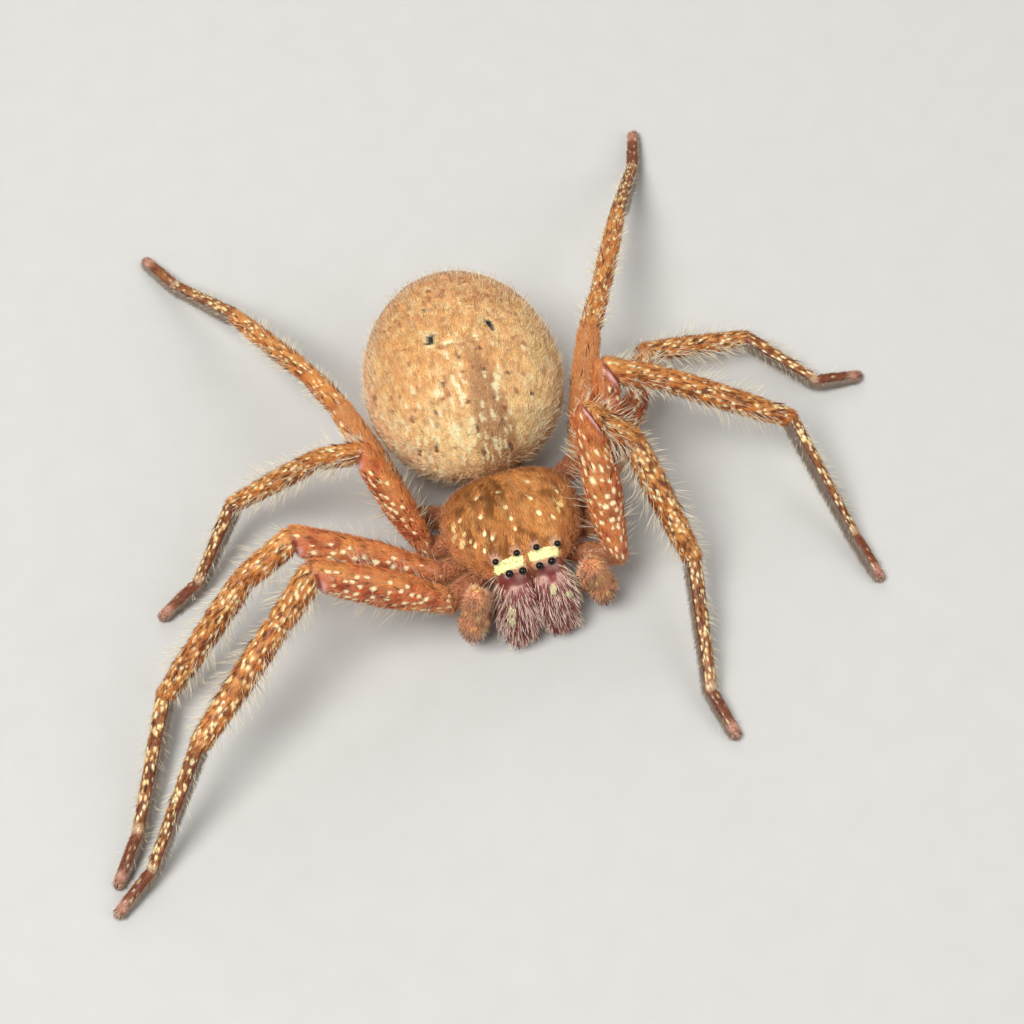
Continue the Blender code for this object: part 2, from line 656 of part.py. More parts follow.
def make_palp(side_name):
    side = SIDES[side_name]
    joints = [mirrored(Vector(point) * MM, side) for point in PALP_JOINTS[side_name]]
    knee, onwards = mitre(joints, 2)
    base = tube(joints[0:3], PALP_BASE_FORMS, 1.0, 10)
    cut(base, knee - onwards * (GAP / 2), onwards)
    cut(base, Vector((side * GAP, 0, 0)), Vector((-side, 0, 0)))
    as_object(f"palp_base_{side_name}", base, "leg")
    end = tube(joints[2:5], PALP_FORMS, 1.0, 10)
    cut(end, knee + onwards * (GAP / 2), -onwards)
    palp = as_object(f"palp_{side_name}", end, "leg")
    fuse(palp, locks_on_limb(joints[3], joints[4], Vector((0, -1, 0)), PALP_FORMS[1], PALP_LOCK_ROWS,
                             PALP_LOCK_LENGTH))


def make_labium():
    mesh = loft([oval(Vector((0, y * MM, LIP_HEIGHT)), Vector((0, 1, 0)), width * MM, LIP_THICKNESS / 2, 10)
                 for y, width in LIP_FORM])
    return as_object("labium", mesh, "breast")


def settle():
    """Moves every object so that the origin is the middle of the whole model's box, on the floor."""
    pieces = [item for item in bpy.data.objects if item.type == "MESH"]
    corners = [vertex.co for item in pieces for vertex in item.data.vertices]
    middle = [(min(c[k] for c in corners) + max(c[k] for c in corners)) / 2 for k in (0, 1)]
    shift = Matrix.Translation((-middle[0], -middle[1], -min(c.z for c in corners)))
    for item in pieces:
        item.data.transform(shift)


def main():
    clear_scene()
    make_carapace()
    make_breast()
    make_labium()
    make_waist()
    make_abdomen()
    make_spinnerets()
    for side_name in SIDES:
        for name, sizes in EYES.items():
            make_eye(name, *sizes, side_name)
        make_jaw(side_name)
        make_palp(side_name)
        for pair in LEG_LENGTHS:
            make_leg(side_name, pair)
    settle()


main()
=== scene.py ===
"""Looks of a life-size huntsman spider model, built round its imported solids.

Lengths are in millimetres in the spider's own frame: the head faces -Y, +X is its left side and
the floor is at height 0. placed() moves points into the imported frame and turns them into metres.
Each soft part has one skin, a ball whose rings are moved onto the part's form. The coat is solid
hairs that stand on the rings of the same skin and take their colours from the same rule.
"""
import itertools
import math
import bpy
import numpy as np
from mathutils import Matrix, Vector


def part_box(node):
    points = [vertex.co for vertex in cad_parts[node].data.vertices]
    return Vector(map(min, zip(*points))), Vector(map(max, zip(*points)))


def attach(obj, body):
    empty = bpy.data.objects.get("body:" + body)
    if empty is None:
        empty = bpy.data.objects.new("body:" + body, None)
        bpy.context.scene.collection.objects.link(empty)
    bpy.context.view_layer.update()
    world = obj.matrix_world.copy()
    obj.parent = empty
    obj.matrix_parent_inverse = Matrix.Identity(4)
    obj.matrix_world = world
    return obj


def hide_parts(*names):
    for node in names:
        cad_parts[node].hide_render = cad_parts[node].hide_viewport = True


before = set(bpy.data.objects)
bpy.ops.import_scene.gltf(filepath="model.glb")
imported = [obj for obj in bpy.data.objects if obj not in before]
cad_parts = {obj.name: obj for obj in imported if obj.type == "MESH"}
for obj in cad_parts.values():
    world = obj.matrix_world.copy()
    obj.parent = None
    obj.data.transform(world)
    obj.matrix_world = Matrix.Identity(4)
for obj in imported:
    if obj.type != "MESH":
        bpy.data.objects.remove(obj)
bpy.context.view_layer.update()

MM = 0.001
SIDES = {"left": 1, "right": -1}

# The carapace, as in the solids
CARAPACE_CENTRE_Y = -0.7
CARAPACE_HALF_WIDTH = 4.0
CARAPACE_FRONT = 3.95
CARAPACE_REAR = 2.8
CARAPACE_UNDERSIDE = 3.7
CARAPACE_RISE = 2.5
CARAPACE_RIM = 0.25
CARAPACE_FRONT_POWER = 2.05
CARAPACE_REAR_POWER = 2.5

# The hind body, as in the solids
ABDOMEN_CENTRE = (-0.1, 7.75, 5.3)
ABDOMEN_HALF_WIDTH = 5.78
ABDOMEN_HALF_HEIGHT = 4.95
ABDOMEN_FRONT = 5.85
ABDOMEN_REAR = 7.0
ABDOMEN_PITCH = 5.5
ABDOMEN_YAW = -5.5
ABDOMEN_FRONT_POWER = 2.1
ABDOMEN_REAR_POWER = 1.95
WAIST_HEIGHT = 2.7
WAIST_RADIUS = 0.5

# Eyes: sideways place, distance in front of the carapace centre, radius
EYES = {
    "anterior_median": (0.48, 3.6, 0.23),
    "anterior_lateral": (1.2, 3.5, 0.25),
    "posterior_median": (0.56, 2.82, 0.2),
    "posterior_lateral": (1.75, 2.82, 0.22),
}
EYE_LIFT = 0.12
# How much of each lens shows between the hairs of its socket, as a share of the solid's radius
LENS_SHARE = {"anterior_median": 0.95, "anterior_lateral": 0.88, "posterior_median": 0.95,
              "posterior_lateral": 0.84}

# Legs, as in the solids: lengths from femur to tarsus, girth, coxa roots and pose in degrees
LEG_LENGTHS = {
    1: (8.6, 3.25, 7.75, 7.45, 2.6),
    2: (8.8, 3.45, 8.1, 7.7, 2.65),
    3: (7.6, 3.3, 6.4, 5.0, 2.55),
    4: (7.6, 3.35, 7.85, 6.5, 2.75),
}
LEG_GIRTH = {1: 1.0, 2: 0.97, 3: 0.83, 4: 0.79}
COXA_ROOTS = {1: (1.6, -2.55), 2: (1.95, -1.4), 3: (1.95, -0.25), 4: (1.6, 0.9)}
COXA_ROOT_HEIGHT = 2.35
POSE = {
    ("right", 1): ((4.75, -4.1, 3.2), (-13, 31, 39, 46, 34), (35, -30, -12)),
    ("right", 2): ((4.7, -2.25, 2.8), (-21, 17, 31, 65, 53), (26, -19, -30)),
    ("right", 3): ((4.85, -0.4, 2.45), (-60, -31, -8, 44, 25), (54, -34, -35)),
    ("right", 4): ((5.1, 1.75, 2.5), (-69, -72, -66, -60, -65), (33, -14, -18)),
    ("left", 1): ((5.0, -4.25, 3.3), (-89, 28, 73, 101, 79), (52, -40, -39)),
    ("left", 2): ((4.75, -2.1, 3.0), (-68, 14, 25, 76, 79), (38, -23, -22)),
    ("left", 3): ((4.95, -0.4, 2.05), (-49, -65, 4, 51, 4), (8, -14, -9)),
    ("left", 4): ((4.95, 2.1, 2.85), (-66, -60, -62, -60, -70), (34, -19, -17)),
}
TARSUS_START_HEIGHT = 0.72
TARSUS_TIP_HEIGHT = 0.3

# Half widths and half heights along each length of a limb, as (share, width, height)
LEG_FORMS = (
    ((0.0, 0.44, 0.6), (0.3, 0.52, 0.66), (0.62, 0.6, 0.7), (0.74, 0.6, 0.66), (1.0, 0.72, 0.74)),
    ((0.0, 0.74, 0.78), (0.2, 0.92, 0.98), (0.45, 1.12, 1.2), (0.75, 1.04, 1.08), (1.0, 0.9, 0.9)),
    ((0.0, 0.84, 0.84), (0.5, 0.84, 0.84), (1.0, 0.78, 0.78)),
    ((0.0, 0.76, 0.76), (0.3, 0.82, 0.82), (0.7, 0.76, 0.76), (1.0, 0.66, 0.66)),
    ((0.0, 0.56, 0.56), (0.35, 0.52, 0.52), (0.8, 0.46, 0.46), (1.0, 0.47, 0.46)),
    ((0.0, 0.46, 0.45), (0.45, 0.45, 0.44), (1.0, 0.4, 0.38)),
)
COXA, FEMUR, PATELLA, TIBIA, METATARSUS, TARSUS = range(6)

# Jaws and feelers, as in the solids
JAW_TOP = (1.08, -4.1, 3.9)
JAW_TIP = (1.32, -6.1, 1.25)
JAW_FORM = ((0.0, 0.9, 0.85), (0.3, 1.04, 0.96), (0.65, 1.0, 0.9), (1.0, 0.76, 0.62))
PALP_JOINTS = {
    "left": ((1.05, -3.5, 1.55), (2.95, -4.7, 1.5), (3.35, -5.1, 4.4), (3.75, -5.4, 2.9), (3.9, -5.6, 1.5)),
    "right": ((1.05, -3.5, 1.55), (2.95, -4.7, 1.5), (3.35, -5.0, 4.7), (3.7, -5.4, 3.1),
    (3.85, -5.6, 1.6)),
}
PALP_FORMS = (
    ((0.0, 0.4, 0.42), (0.5, 0.38, 0.4), (1.0, 0.38, 0.4)),
    ((0.0, 0.38, 0.4), (0.5, 0.45, 0.45), (1.0, 0.48, 0.48)),
    ((0.0, 0.5, 0.5), (0.5, 0.58, 0.56), (1.0, 0.62, 0.6)),
    ((0.0, 0.64, 0.62), (0.5, 0.7, 0.68), (1.0, 0.5, 0.48)),
)

# Depth of the coat: each skin lies this far inside the solids
LEG_COAT = 0.1
BODY_COAT = 0.12

# The camera: where it stands, how it is turned and its lens, from the photo's view of the spider
CAMERA_TARGET = (0.76, 1.62, 0.0)
CAMERA_DISTANCE = 116.7
CAMERA_AZIMUTH = -16.3
CAMERA_ELEVATION = 63.2
CAMERA_ROLL = -1.8
CAMERA_LENS = 70.0


def linear(code):
    """A colour's linear red, green and blue, from its sRGB hex code."""
    parts = [int(code[i:i + 2], 16) / 255 for i in (1, 3, 5)]
    return np.array([p / 12.92 if p <= 0.04045 else ((p + 0.055) / 1.055) ** 2.4 for p in parts])


RUST = linear("#D0602F")
RUST_RED = linear("#8E2E18")
HIND_TAN = linear("#E2A264")
RUST_DEEP = linear("#93380F")
RUST_TAN = linear("#E39A6C")
FOOT_BROWN = linear("#A05A2E")
RUST_GOLD = linear("#F4AC5C")
GOLD_RUST = linear("#E68A3C")
CREAM = linear("#FFF1BE")
FLECK = linear("#FFD584")
BROWN = linear("#47180C")
DARK_FLECK = linear("#6E2A12")
MEMBRANE = linear("#CF7850")
MAROON = linear("#6C1E15")
SOLE_GREY = linear("#A29484")
FOOT_PINK = linear("#E3AC96")
COXA_BROWN = linear("#C88A66")
HORN = linear("#1A0F0B")
SAND = linear("#F4B871")
SAND_ORANGE = linear("#F2AE70")
SAND_PALE = linear("#FFE2A6")
SAND_PINK = linear("#F6C6A2")
STRIPE = linear("#B98456")
DOT_BROWN = linear("#7A4630")
FLECK_PALE = linear("#FFF3C2")
SIGILLUM = linear("#140B08")
SHIELD = linear("#E09A58")
SHIELD_DARK = linear("#8C4C1A")
SHIELD_EDGE = linear("#C06C3C")
BAR_YELLOW = linear("#FFFBB0")
DOT_YELLOW = linear("#FFF0B0")
SOCKET = linear("#E0B08A")
JAW_RED = linear("#A05654")
JAW_PINK = linear("#E4B6A4")
BRISTLE = linear("#FFEAD8")
PALP_TAN = linear("#E89C70")
FRINGE = linear("#F1E4C6")
# Pink of the painted highlight on the bare skin of the knees
SHEEN = linear("#E6B0B0")


def unit(vectors):
    return vectors / np.maximum(np.linalg.norm(vectors, axis=-1, keepdims=True), 1e-9)


def mix(first, second, share):
    share = np.asarray(share)[..., None]
    return first * (1 - share) + second * share


def ease(value, low, high):
    """Runs smoothly from 0 at low to 1 at high."""
    share = np.clip((value - low) / (high - low), 0, 1)
    return share * share * (3 - 2 * share)


LATTICE = np.random.default_rng(7).random((32, 32, 32))


def mottle(points, size):
    """Smooth noise from 0 to 1, with patches of about a size in mm."""
    place = points / size
    corner = np.floor(place).astype(int)
    inside = place - corner
    inside = inside * inside * (3 - 2 * inside)
    total = 0
    for step in itertools.product((0, 1), repeat=3):
        share = np.prod(np.where(step, inside, 1 - inside), axis=-1)
        x, y, z = np.moveaxis((corner + step) % 32, -1, 0)
        total = total + share * LATTICE[x, y, z]
    return total


def frame_offset():
    """Where the spider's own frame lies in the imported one, in mm, from the carapace's box."""
    low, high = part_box("carapace")
    rear = CARAPACE_CENTRE_Y + CARAPACE_REAR
    middle = (low[0] + high[0]) / 2 / MM
    return np.array([middle, high[1] / MM - rear, low[2] / MM - CARAPACE_UNDERSIDE])


OFFSET = frame_offset()


def placed(points):
    return (np.asarray(points) + OFFSET) * MM


def deselect():
    bpy.ops.object.select_all(action="DESELECT")


def read(data, field, width):
    values = np.empty(len(data) * width, np.float32)
    data.foreach_get(field, values)
    return values.reshape(-1, width).astype(float)


def write_attribute(mesh, name, kind, values):
    made = mesh.attributes.new(name, kind, "POINT")
    field = "color" if kind == "FLOAT_COLOR" else "value"
    made.data.foreach_set(field, np.ascontiguousarray(values, np.float32).ravel())


def with_alpha(colours):
    return np.concatenate([colours, np.ones((*colours.shape[:-1], 1))], axis=-1)


# Materials


def add(tree, kind, settings=(), links=()):
    """Adds a node. Settings and links go to its properties or to its inputs by name or number."""
    node = tree.nodes.new(kind)
    for key, value in dict(settings).items():
        if isinstance(key, str) and hasattr(node, key):
            setattr(node, key, value)
        else:
            node.inputs[key].default_value = value
    for key, source in dict(links).items():
        tree.links.new(source, node.inputs[key])
    return node


def new_material(name):
    """A material, its tree and the place on the model that its textures read."""
    made = bpy.data.materials.new(name)
    made.use_nodes = True
    made.node_tree.nodes.clear()
    return made, made.node_tree, add(made.node_tree, "ShaderNodeTexCoord").outputs["Object"]


def finish_material(tree, settings, links):
    shader = add(tree, "ShaderNodeBsdfPrincipled", settings, links)
    add(tree, "ShaderNodeOutputMaterial", (), {"Surface": shader.outputs["BSDF"]})


def noise_of(tree, place, size, **settings):
    """Noise over the model with patches of a size in mm."""
    made = add(tree, "ShaderNodeTexNoise", {"Scale": 1 / (size * MM), **settings}, {"Vector": place})
    return made.outputs["Fac"]


def ranged(tree, source, low, high):
    made = add(tree, "ShaderNodeMapRange", {"To Min": low, "To Max": high}, {"Value": source})
    return made.outputs["Result"]


def shaded_tint(tree, noise, low, high):
    """The piece's own colours, darker and lighter with the noise."""
    tint = add(tree, "ShaderNodeAttribute", {"attribute_name": "tint"})
    return add(tree, "ShaderNodeVectorMath", {"operation": "SCALE"},
               {0: tint.outputs["Color"], "Scale": ranged(tree, noise, low, high)}).outputs["Vector"]


def two_tone(tree, noise, first, second):
    colour = add(tree, "ShaderNodeMix", {"data_type": "RGBA"}, {"Factor": noise})
    colour.inputs[6].default_value = (*first, 1)
    colour.inputs[7].default_value = (*second, 1)
    return colour.outputs[2]


def bump_of(tree, source, strength, depth):
    return add(tree, "ShaderNodeBump", {"Strength": strength, "Distance": depth * MM},
               {"Height": source}).outputs["Normal"]


def setae(name, roughness, streak):
    """Hair of dry chitin: each one keeps its own tint, a little lighter and darker along its length."""
    made, tree, place = new_material(name)
    colour = shaded_tint(tree, noise_of(tree, place, streak, Detail=2.0), 0.82, 1.18)
    finish_material(tree, {"Roughness": roughness, "Specular IOR Level": 0.35}, {"Base Color": colour})
    return made


def cuticle(name, grain, depth, coat):
    """Bare cuticle under the hairs: dry and finely pitted where they root, glossy where it is bare."""
    made, tree, place = new_material(name)
    colour = shaded_tint(tree, noise_of(tree, place, grain, Detail=4.0, Roughness=0.6), 0.6, 1.2)
    gloss = add(tree, "ShaderNodeAttribute", {"attribute_name": "gloss"})
    pits = add(tree, "ShaderNodeTexVoronoi", {"Scale": 1 / (grain * 0.7 * MM)}, {"Vector": place})
    finish_material(tree, {"Coat Weight": coat, "Coat Roughness": 0.25, "Subsurface Weight": 0.05,
                           "Subsurface Radius": (0.0004, 0.0002, 0.0001), "Subsurface Scale": 1.0},
                    {"Base Color": colour, "Roughness": ranged(tree, gloss.outputs["Fac"], 0.62, 0.2),
                     "Normal": bump_of(tree, pits.outputs["Distance"], 0.35, depth)})
    return made


def horn(name, dark, light, roughness, specular, coat):
    """Hard polished chitin, almost black, with faint growth bands that show red-brown in the light."""
    made, tree, place = new_material(name)
    noise = noise_of(tree, place, 0.25, Detail=3.0)
    finish_material(tree, {"Roughness": roughness, "Specular IOR Level": specular, "Coat Weight": coat,
                           "Coat Roughness": 0.05},
                    {"Base Color": two_tone(tree, noise, dark, light),
                     "Normal": bump_of(tree, noise, 0.05, 0.01)})
    return made


def floor_paper(name):
    """Matt studio paper: pale and even, with only a trace of fibre."""
    made, tree, place = new_material(name)
    noise = noise_of(tree, place, 2.0, Detail=3.0)
    finish_material(tree, {"Roughness": 0.9, "Specular IOR Level": 0.2},
                    {"Base Color": two_tone(tree, noise, linear("#BDBBB6"), linear("#C3C1BD"))})
    return made


LOOKS = {
    "coat": setae("dry hair of chitin", 0.6, 0.4),
    "bristle": setae("pale glassy bristles", 0.38, 0.5),
    "leg": cuticle("leg cuticle", 0.12, 0.03, 0.2),
    "abdomen": cuticle("soft hind body cuticle", 0.16, 0.03, 0.0),
    "carapace": cuticle("carapace cuticle", 0.14, 0.03, 0.1),
    "jaw": cuticle("polished jaw cuticle", 0.18, 0.015, 0.5),
    "horn": horn("black horn of fangs and claws", HORN, linear("#3A1710"), 0.25, 0.4, 0.2),
    "eye": horn("wet black eye lens", linear("#030202"), linear("#070404"), 0.08, 0.3, 0.1),
}


# Skins


class Skin:
    """A closed surface as rings of points from one pole to the other."""

    def __init__(self, rings, first_pole, last_pole):
        self.rings = np.asarray(rings, float)
        self.poles = np.asarray(first_pole, float), np.asarray(last_pole, float)
        self.rows, self.sides = self.rings.shape[:2]
        around = np.roll(self.rings, -1, 1) - np.roll(self.rings, 1, 1)
        along = np.gradient(self.rings, axis=0)
        normals = unit(np.cross(around, along))
        out = self.rings - self.rings.mean(1, keepdims=True)
        if (normals * out).sum() < 0:
            normals = -normals
        self.normals = normals
        self.along = unit(along)

    def between(self, field, v, u):
        """A field of the rings, read at places between its points."""
        row = np.clip(v.astype(int), 0, self.rows - 2)
        side = np.floor(u).astype(int)
        over = (u - side)[:, None]
        side = side % self.sides
        following = (side + 1) % self.sides
        down = (v - row)[:, None]
        upper = field[row, side] * (1 - over) + field[row, following] * over
        lower = field[row + 1, side] * (1 - over) + field[row + 1, following] * over
        return upper * (1 - down) + lower * down

    def unwrap(self, v, u):
        """The place of a root on the skin's own map, which the ball it is made from has too."""
        flat = np.stack([(u % self.sides) / self.sides, 1 - (v + 1) / (self.rows + 1)], axis=1)
        return np.clip(flat, 0.002, 0.998)


def skin_piece(name, skin, tint, gloss, look, nodes):
    """A ball with the skin's rings, each ring moved to its place, as one closed mesh."""
    deselect()
    bpy.ops.mesh.primitive_uv_sphere_add(segments=skin.sides, ring_count=skin.rows + 1, radius=1.0)
    made = bpy.context.object
    made.name = name
    mesh = made.data
    mesh.name = name
    x, y, z = read(mesh.vertices, "co", 3).T
    ring = np.rint(np.arctan2(np.hypot(x, y), z) / math.pi * (skin.rows + 1)).astype(int)
    side = np.rint(np.arctan2(y, x) / (2 * math.pi) * skin.sides).astype(int) % skin.sides

    def with_poles(field, first=None, last=None):
        first = field[0].mean(0) if first is None else first
        last = field[-1].mean(0) if last is None else last
        ends = [np.broadcast_to(end, field[:1].shape) for end in (first, last)]
        return np.concatenate([ends[0], field, ends[1]])[ring, side]

    mesh.vertices.foreach_set("co", placed(with_poles(skin.rings, *skin.poles)).ravel())
    write_attribute(mesh, "tint", "FLOAT_COLOR", with_alpha(with_poles(tint)))
    write_attribute(mesh, "gloss", "FLOAT", with_poles(gloss))
    mesh.uv_layers[0].name = "OFBake"
    bpy.ops.object.mode_set(mode="EDIT")
    bpy.ops.mesh.select_all(action="SELECT")
    bpy.ops.mesh.normals_make_consistent(inside=False)
    bpy.ops.object.mode_set(mode="OBJECT")
    bpy.ops.object.shade_smooth()
    return declare(made, look, nodes)


def declare(piece, look, nodes=()):
    """Gives a piece its material and its body, and hides the solids it stands for."""
    piece.data.materials.clear()
    piece.data.materials.append(LOOKS[look])
    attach(piece, "root")
    if nodes:
        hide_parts(*nodes)
    return piece


# Hairs


def hair_form(heights, widths, sides=3):
    """One hair a unit long and a unit wide: a small face extruded ring by ring and drawn to a point.

    Gives its corners, with the third number as the share of the length, and its triangles.
    """
    deselect()
    bpy.ops.mesh.primitive_circle_add(vertices=sides, radius=0.5, fill_type="NGON")
    bpy.ops.object.mode_set(mode="EDIT")
    bpy.ops.mesh.select_all(action="SELECT")
    reached, thick = 0.0, 1.0
    for height, width in zip(heights, widths):
        bpy.ops.mesh.extrude_region_move(TRANSFORM_OT_translate={"value": (0, 0, height - reached)})
        if width > 0:
            bpy.ops.transform.resize(value=(width / thick, width / thick, 1))
            reached, thick = height, width
        else:
            bpy.ops.mesh.merge(type="CENTER")
    bpy.ops.mesh.select_all(action="SELECT")
    bpy.ops.mesh.quads_convert_to_tris()
    bpy.ops.mesh.normals_make_consistent(inside=False)
    bpy.ops.object.mode_set(mode="OBJECT")
    made = bpy.context.object
    points = read(made.data.vertices, "co", 3)
    faces = np.array([list(face.vertices) for face in made.data.polygons])
    bpy.data.objects.remove(made, do_unlink=True)
    return points, faces


STRAIGHT = hair_form((1.0,), (0.0,))
BENT = hair_form((0.45, 1.0), (0.8, 0.0))
CURVED = hair_form((0.35, 0.7, 1.0), (0.9, 0.6, 0.0))
CLAW = hair_form((0.25, 0.5, 0.75, 0.9, 1.0), (0.9, 0.7, 0.45, 0.25, 0.0), 7)
# Kinds of hair: how many, form, then length, width, lift and curl, each one number or a range to draw
# from (None where the place decides it), and how flat the hair is
HAIRS = {
    "leg_short": (19000, STRAIGHT, None, (0.042, 0.06), None, 0.0, 0.6),
    "sole_brush": (2600, STRAIGHT, (0.2, 0.4), (0.028, 0.042), (0.7, 1.25), 0.0, 0.6),
    "leg_fringe": (620, CURVED, None, (0.028, 0.042), (0.75, 1.3), (0.0, 0.5), 0.9),
    "leg_spine": (30, CURVED, (0.6, 0.9), (0.055, 0.075), (0.15, 0.4), 0.0, 0.9),
    "foot_tuft": (260, BENT, (0.2, 0.42), (0.03, 0.045), (0.2, 0.8), (0.2, 0.8), 0.6),
    "claw": (2, CLAW, 0.42, 0.11, 0.35, 1.2, 0.8),
    "carapace_short": (30000, STRAIGHT, None, None, None, 0.0, 0.6),
    "margin": (900, BENT, (0.25, 0.5), (0.02, 0.032), (0.7, 1.3), (0.0, 0.6), 0.9),
    "face": (160, CURVED, (0.35, 0.7), (0.02, 0.03), (0.6, 1.2), (0.2, 0.8), 0.9),
    "abdomen_short": (49000, STRAIGHT, None, (0.042, 0.066), None, 0.0, 0.6),
    "abdomen_fringe": (3600, BENT, (0.35, 0.95), (0.022, 0.034), (0.4, 1.1), (0.2, 0.8), 0.9),
    "spinneret": (300, STRAIGHT, 0.25, (0.05, 0.075), (0.2, 0.6), 0.0, 0.6),
    "lip": (350, STRAIGHT, 0.25, (0.05, 0.075), (0.2, 0.6), 0.0, 0.6),
    "waist": (500, STRAIGHT, 0.25, (0.05, 0.075), (0.2, 0.6), 0.0, 0.6),
    "palp": (6000, STRAIGHT, 0.46, (0.05, 0.075), (0.2, 1.2), 0.0, 0.6),
    "palp_bristle": (560, CURVED, (0.35, 0.65), (0.04, 0.06), (0.4, 1.0), (0.2, 0.8), 0.9),
    "breast": (3500, STRAIGHT, (0.25, 0.5), (0.035, 0.05), (0.3, 0.8), 0.0, 0.6),
    "jaw_short": (2000, BENT, (0.22, 0.4), (0.03, 0.045), (0.3, 0.8), (0.2, 0.6), 0.9),
    "jaw_bristle": (620, CURVED, None, (0.06, 0.09), (0.4, 0.9), (0.3, 0.8), 0.9),
    "jaw_white": (40, CURVED, (0.9, 1.4), (0.04, 0.055), (0.4, 0.8), (0.3, 0.9), 0.9),
    "jaw_dot": (110, STRAIGHT, (0.3, 0.42), (0.08, 0.11), (1.0, 1.35), 0.0, 0.6),
}
SEEDS = {"carapace": 31, "abdomen": 41, "fringe": 42, "breast": 51, "lip": 52, "waist": 53, "abdomen_marks": 61,
         "spinneret": 70, "jaw": 80, "palp": 90, "leg": 100}
PATCH = 0.003  # how wide a hair is on the map, round its root's place
ROOT_DEPTH = 0.03
FLOOR_CLEARANCE = 0.01
FEW = 1e-6  # weights of places where hardly a hair or none at all is to root
NONE = 1e-9


class Coat:
    """Hairs gathered for one piece. The export drops hair systems, so each hair is a closed mesh."""

    def __init__(self, skin, seed):
        self.skin = skin
        self.draw = np.random.default_rng(seed)
        self.points, self.faces, self.tints, self.patches = [], [], [], []
        self.count = 0

    def plant(self, v, u):
        """Where the next hairs root, as row and side of the skin."""
        self.places = v, u
        self.root = self.skin.between(self.skin.rings, v, u)

    def sow(self, kind, weight):
        """Draws where hairs of a kind root, by area and a weight for each point."""
        count = HAIRS[kind][0]
        rings = self.skin.rings
        across = np.linalg.norm(np.roll(rings, -1, 1) - rings, axis=2)[:-1]
        down = np.linalg.norm(rings[1:] - rings[:-1], axis=2)
        share = (across * down * weight[:-1]).ravel()
        pick = self.draw.choice(share.size, count, p=share / share.sum())
        row, side = np.divmod(pick, self.skin.sides)
        self.plant(row + self.draw.random(count), side + self.draw.random(count))

    def vary(self, low, high):
        return self.draw.uniform(low, high, len(self.root))

    def shade(self, low, high):
        return self.vary(low, high)[:, None]

    def lean(self, spread, way=None):
        """A way for each hair, the skin's own if none is named, with a random lean."""
        way = self.skin.between(self.skin.along, *self.places) if way is None else way
        return way + self.draw.normal(0, spread, self.root.shape)

    def grow(self, kind, lie, tint, tip=None, **given):
        """Hairs of a kind at the planted places. Tips keep the tint if no colour is named for them."""
        _, (corners, triangles), *usual, flat = HAIRS[kind]
        sizes = [given.get(name, size) for name, size in zip(("length", "width", "lift", "curl"), usual)]
        sizes = [self.vary(*size) if isinstance(size, tuple) else np.broadcast_to(size, len(self.root))
                 for size in sizes]
        length, width, lift, curl = (size[:, None, None] for size in sizes)
        tint = np.broadcast_to(tint, self.root.shape)
        tip = tint if tip is None else tip
        normal = unit(self.skin.between(self.skin.normals, *self.places))
        lie = unit(lie - normal * (lie * normal).sum(1, keepdims=True))
        lift = lift[:, 0]
        start = lie * np.cos(lift) + normal * np.sin(lift)
        over = lie * np.sin(lift) - normal * np.cos(lift)
        across = unit(np.cross(start, normal))
        thick = np.cross(across, start)
        x, y, share = (corners[:, k][None, :, None] for k in range(3))
        reach = length * share * start[:, None] + length * curl * share**2 * 0.5 * over[:, None]
        girth = width * (x * across[:, None] + y * flat * thick[:, None])
        points = (self.root - normal * ROOT_DEPTH)[:, None] + reach + girth
        points[..., 2] = np.maximum(points[..., 2], FLOOR_CLEARANCE)
        self.add(points, triangles, corners, mix(tint[:, None], tip[:, None], corners[None, :, 2] ** 1.5),
                 self.skin.unwrap(*self.places))

    def add(self, points, triangles, corners, tints, roots):
        hairs, size = points.shape[:2]
        starts = self.count + size * np.arange(hairs)
        self.faces.append((triangles[None] + starts[:, None, None]).reshape(-1, 3))
        self.points.append(points.reshape(-1, 3))
        self.tints.append(np.clip(tints, 0, 1).reshape(-1, 3))
        patch = corners[:, :2] * (PATCH * (1 - 0.85 * corners[:, 2:3]))
        self.patches.append((roots[:, None] + patch[None]).reshape(-1, 2))
        self.count += hairs * size

    def piece(self, name, look, slot, nodes=()):
        points, faces = np.concatenate(self.points), np.concatenate(self.faces)
        mesh = bpy.data.meshes.new(name)
        mesh.vertices.add(len(points))
        mesh.vertices.foreach_set("co", placed(points).astype(np.float32).ravel())
        mesh.loops.add(faces.size)
        mesh.loops.foreach_set("vertex_index", faces.astype(np.int32).ravel())
        mesh.polygons.add(len(faces))
        mesh.polygons.foreach_set("loop_start", np.arange(0, faces.size, 3, dtype=np.int32))
        mesh.update(calc_edges=True)
        map_layer = mesh.uv_layers.new(name="OFBake")
        places = np.concatenate(self.patches)[faces.ravel()]
        map_layer.data.foreach_set("uv", places.astype(np.float32).ravel())
        write_attribute(mesh, "tint", "FLOAT_COLOR", with_alpha(np.concatenate(self.tints)))
        mesh.shade_smooth()
        made = bpy.data.objects.new(name, mesh)
        bpy.context.scene.collection.objects.link(made)
        return declare(made, look, nodes)


# Markings


def layered(colour, *layers):
    """A colour under layers of others, each with the share that it covers."""
    for over, share in layers:
        colour = mix(colour, over, share)
    return colour


def spots(places, x, y):
    """How far points of a flat map lie inside any of some ovals: 1 inside, 0 outside.

    Each oval is (x, y, half length along x, half width along y).
    """
    inside = np.zeros(x.shape)
    for px, py, long, wide in places:
        near = np.hypot((x - px) / long, (y - py) / wide)
        inside = np.maximum(inside, 1 - ease(near, 0.85, 1.1))
    return inside


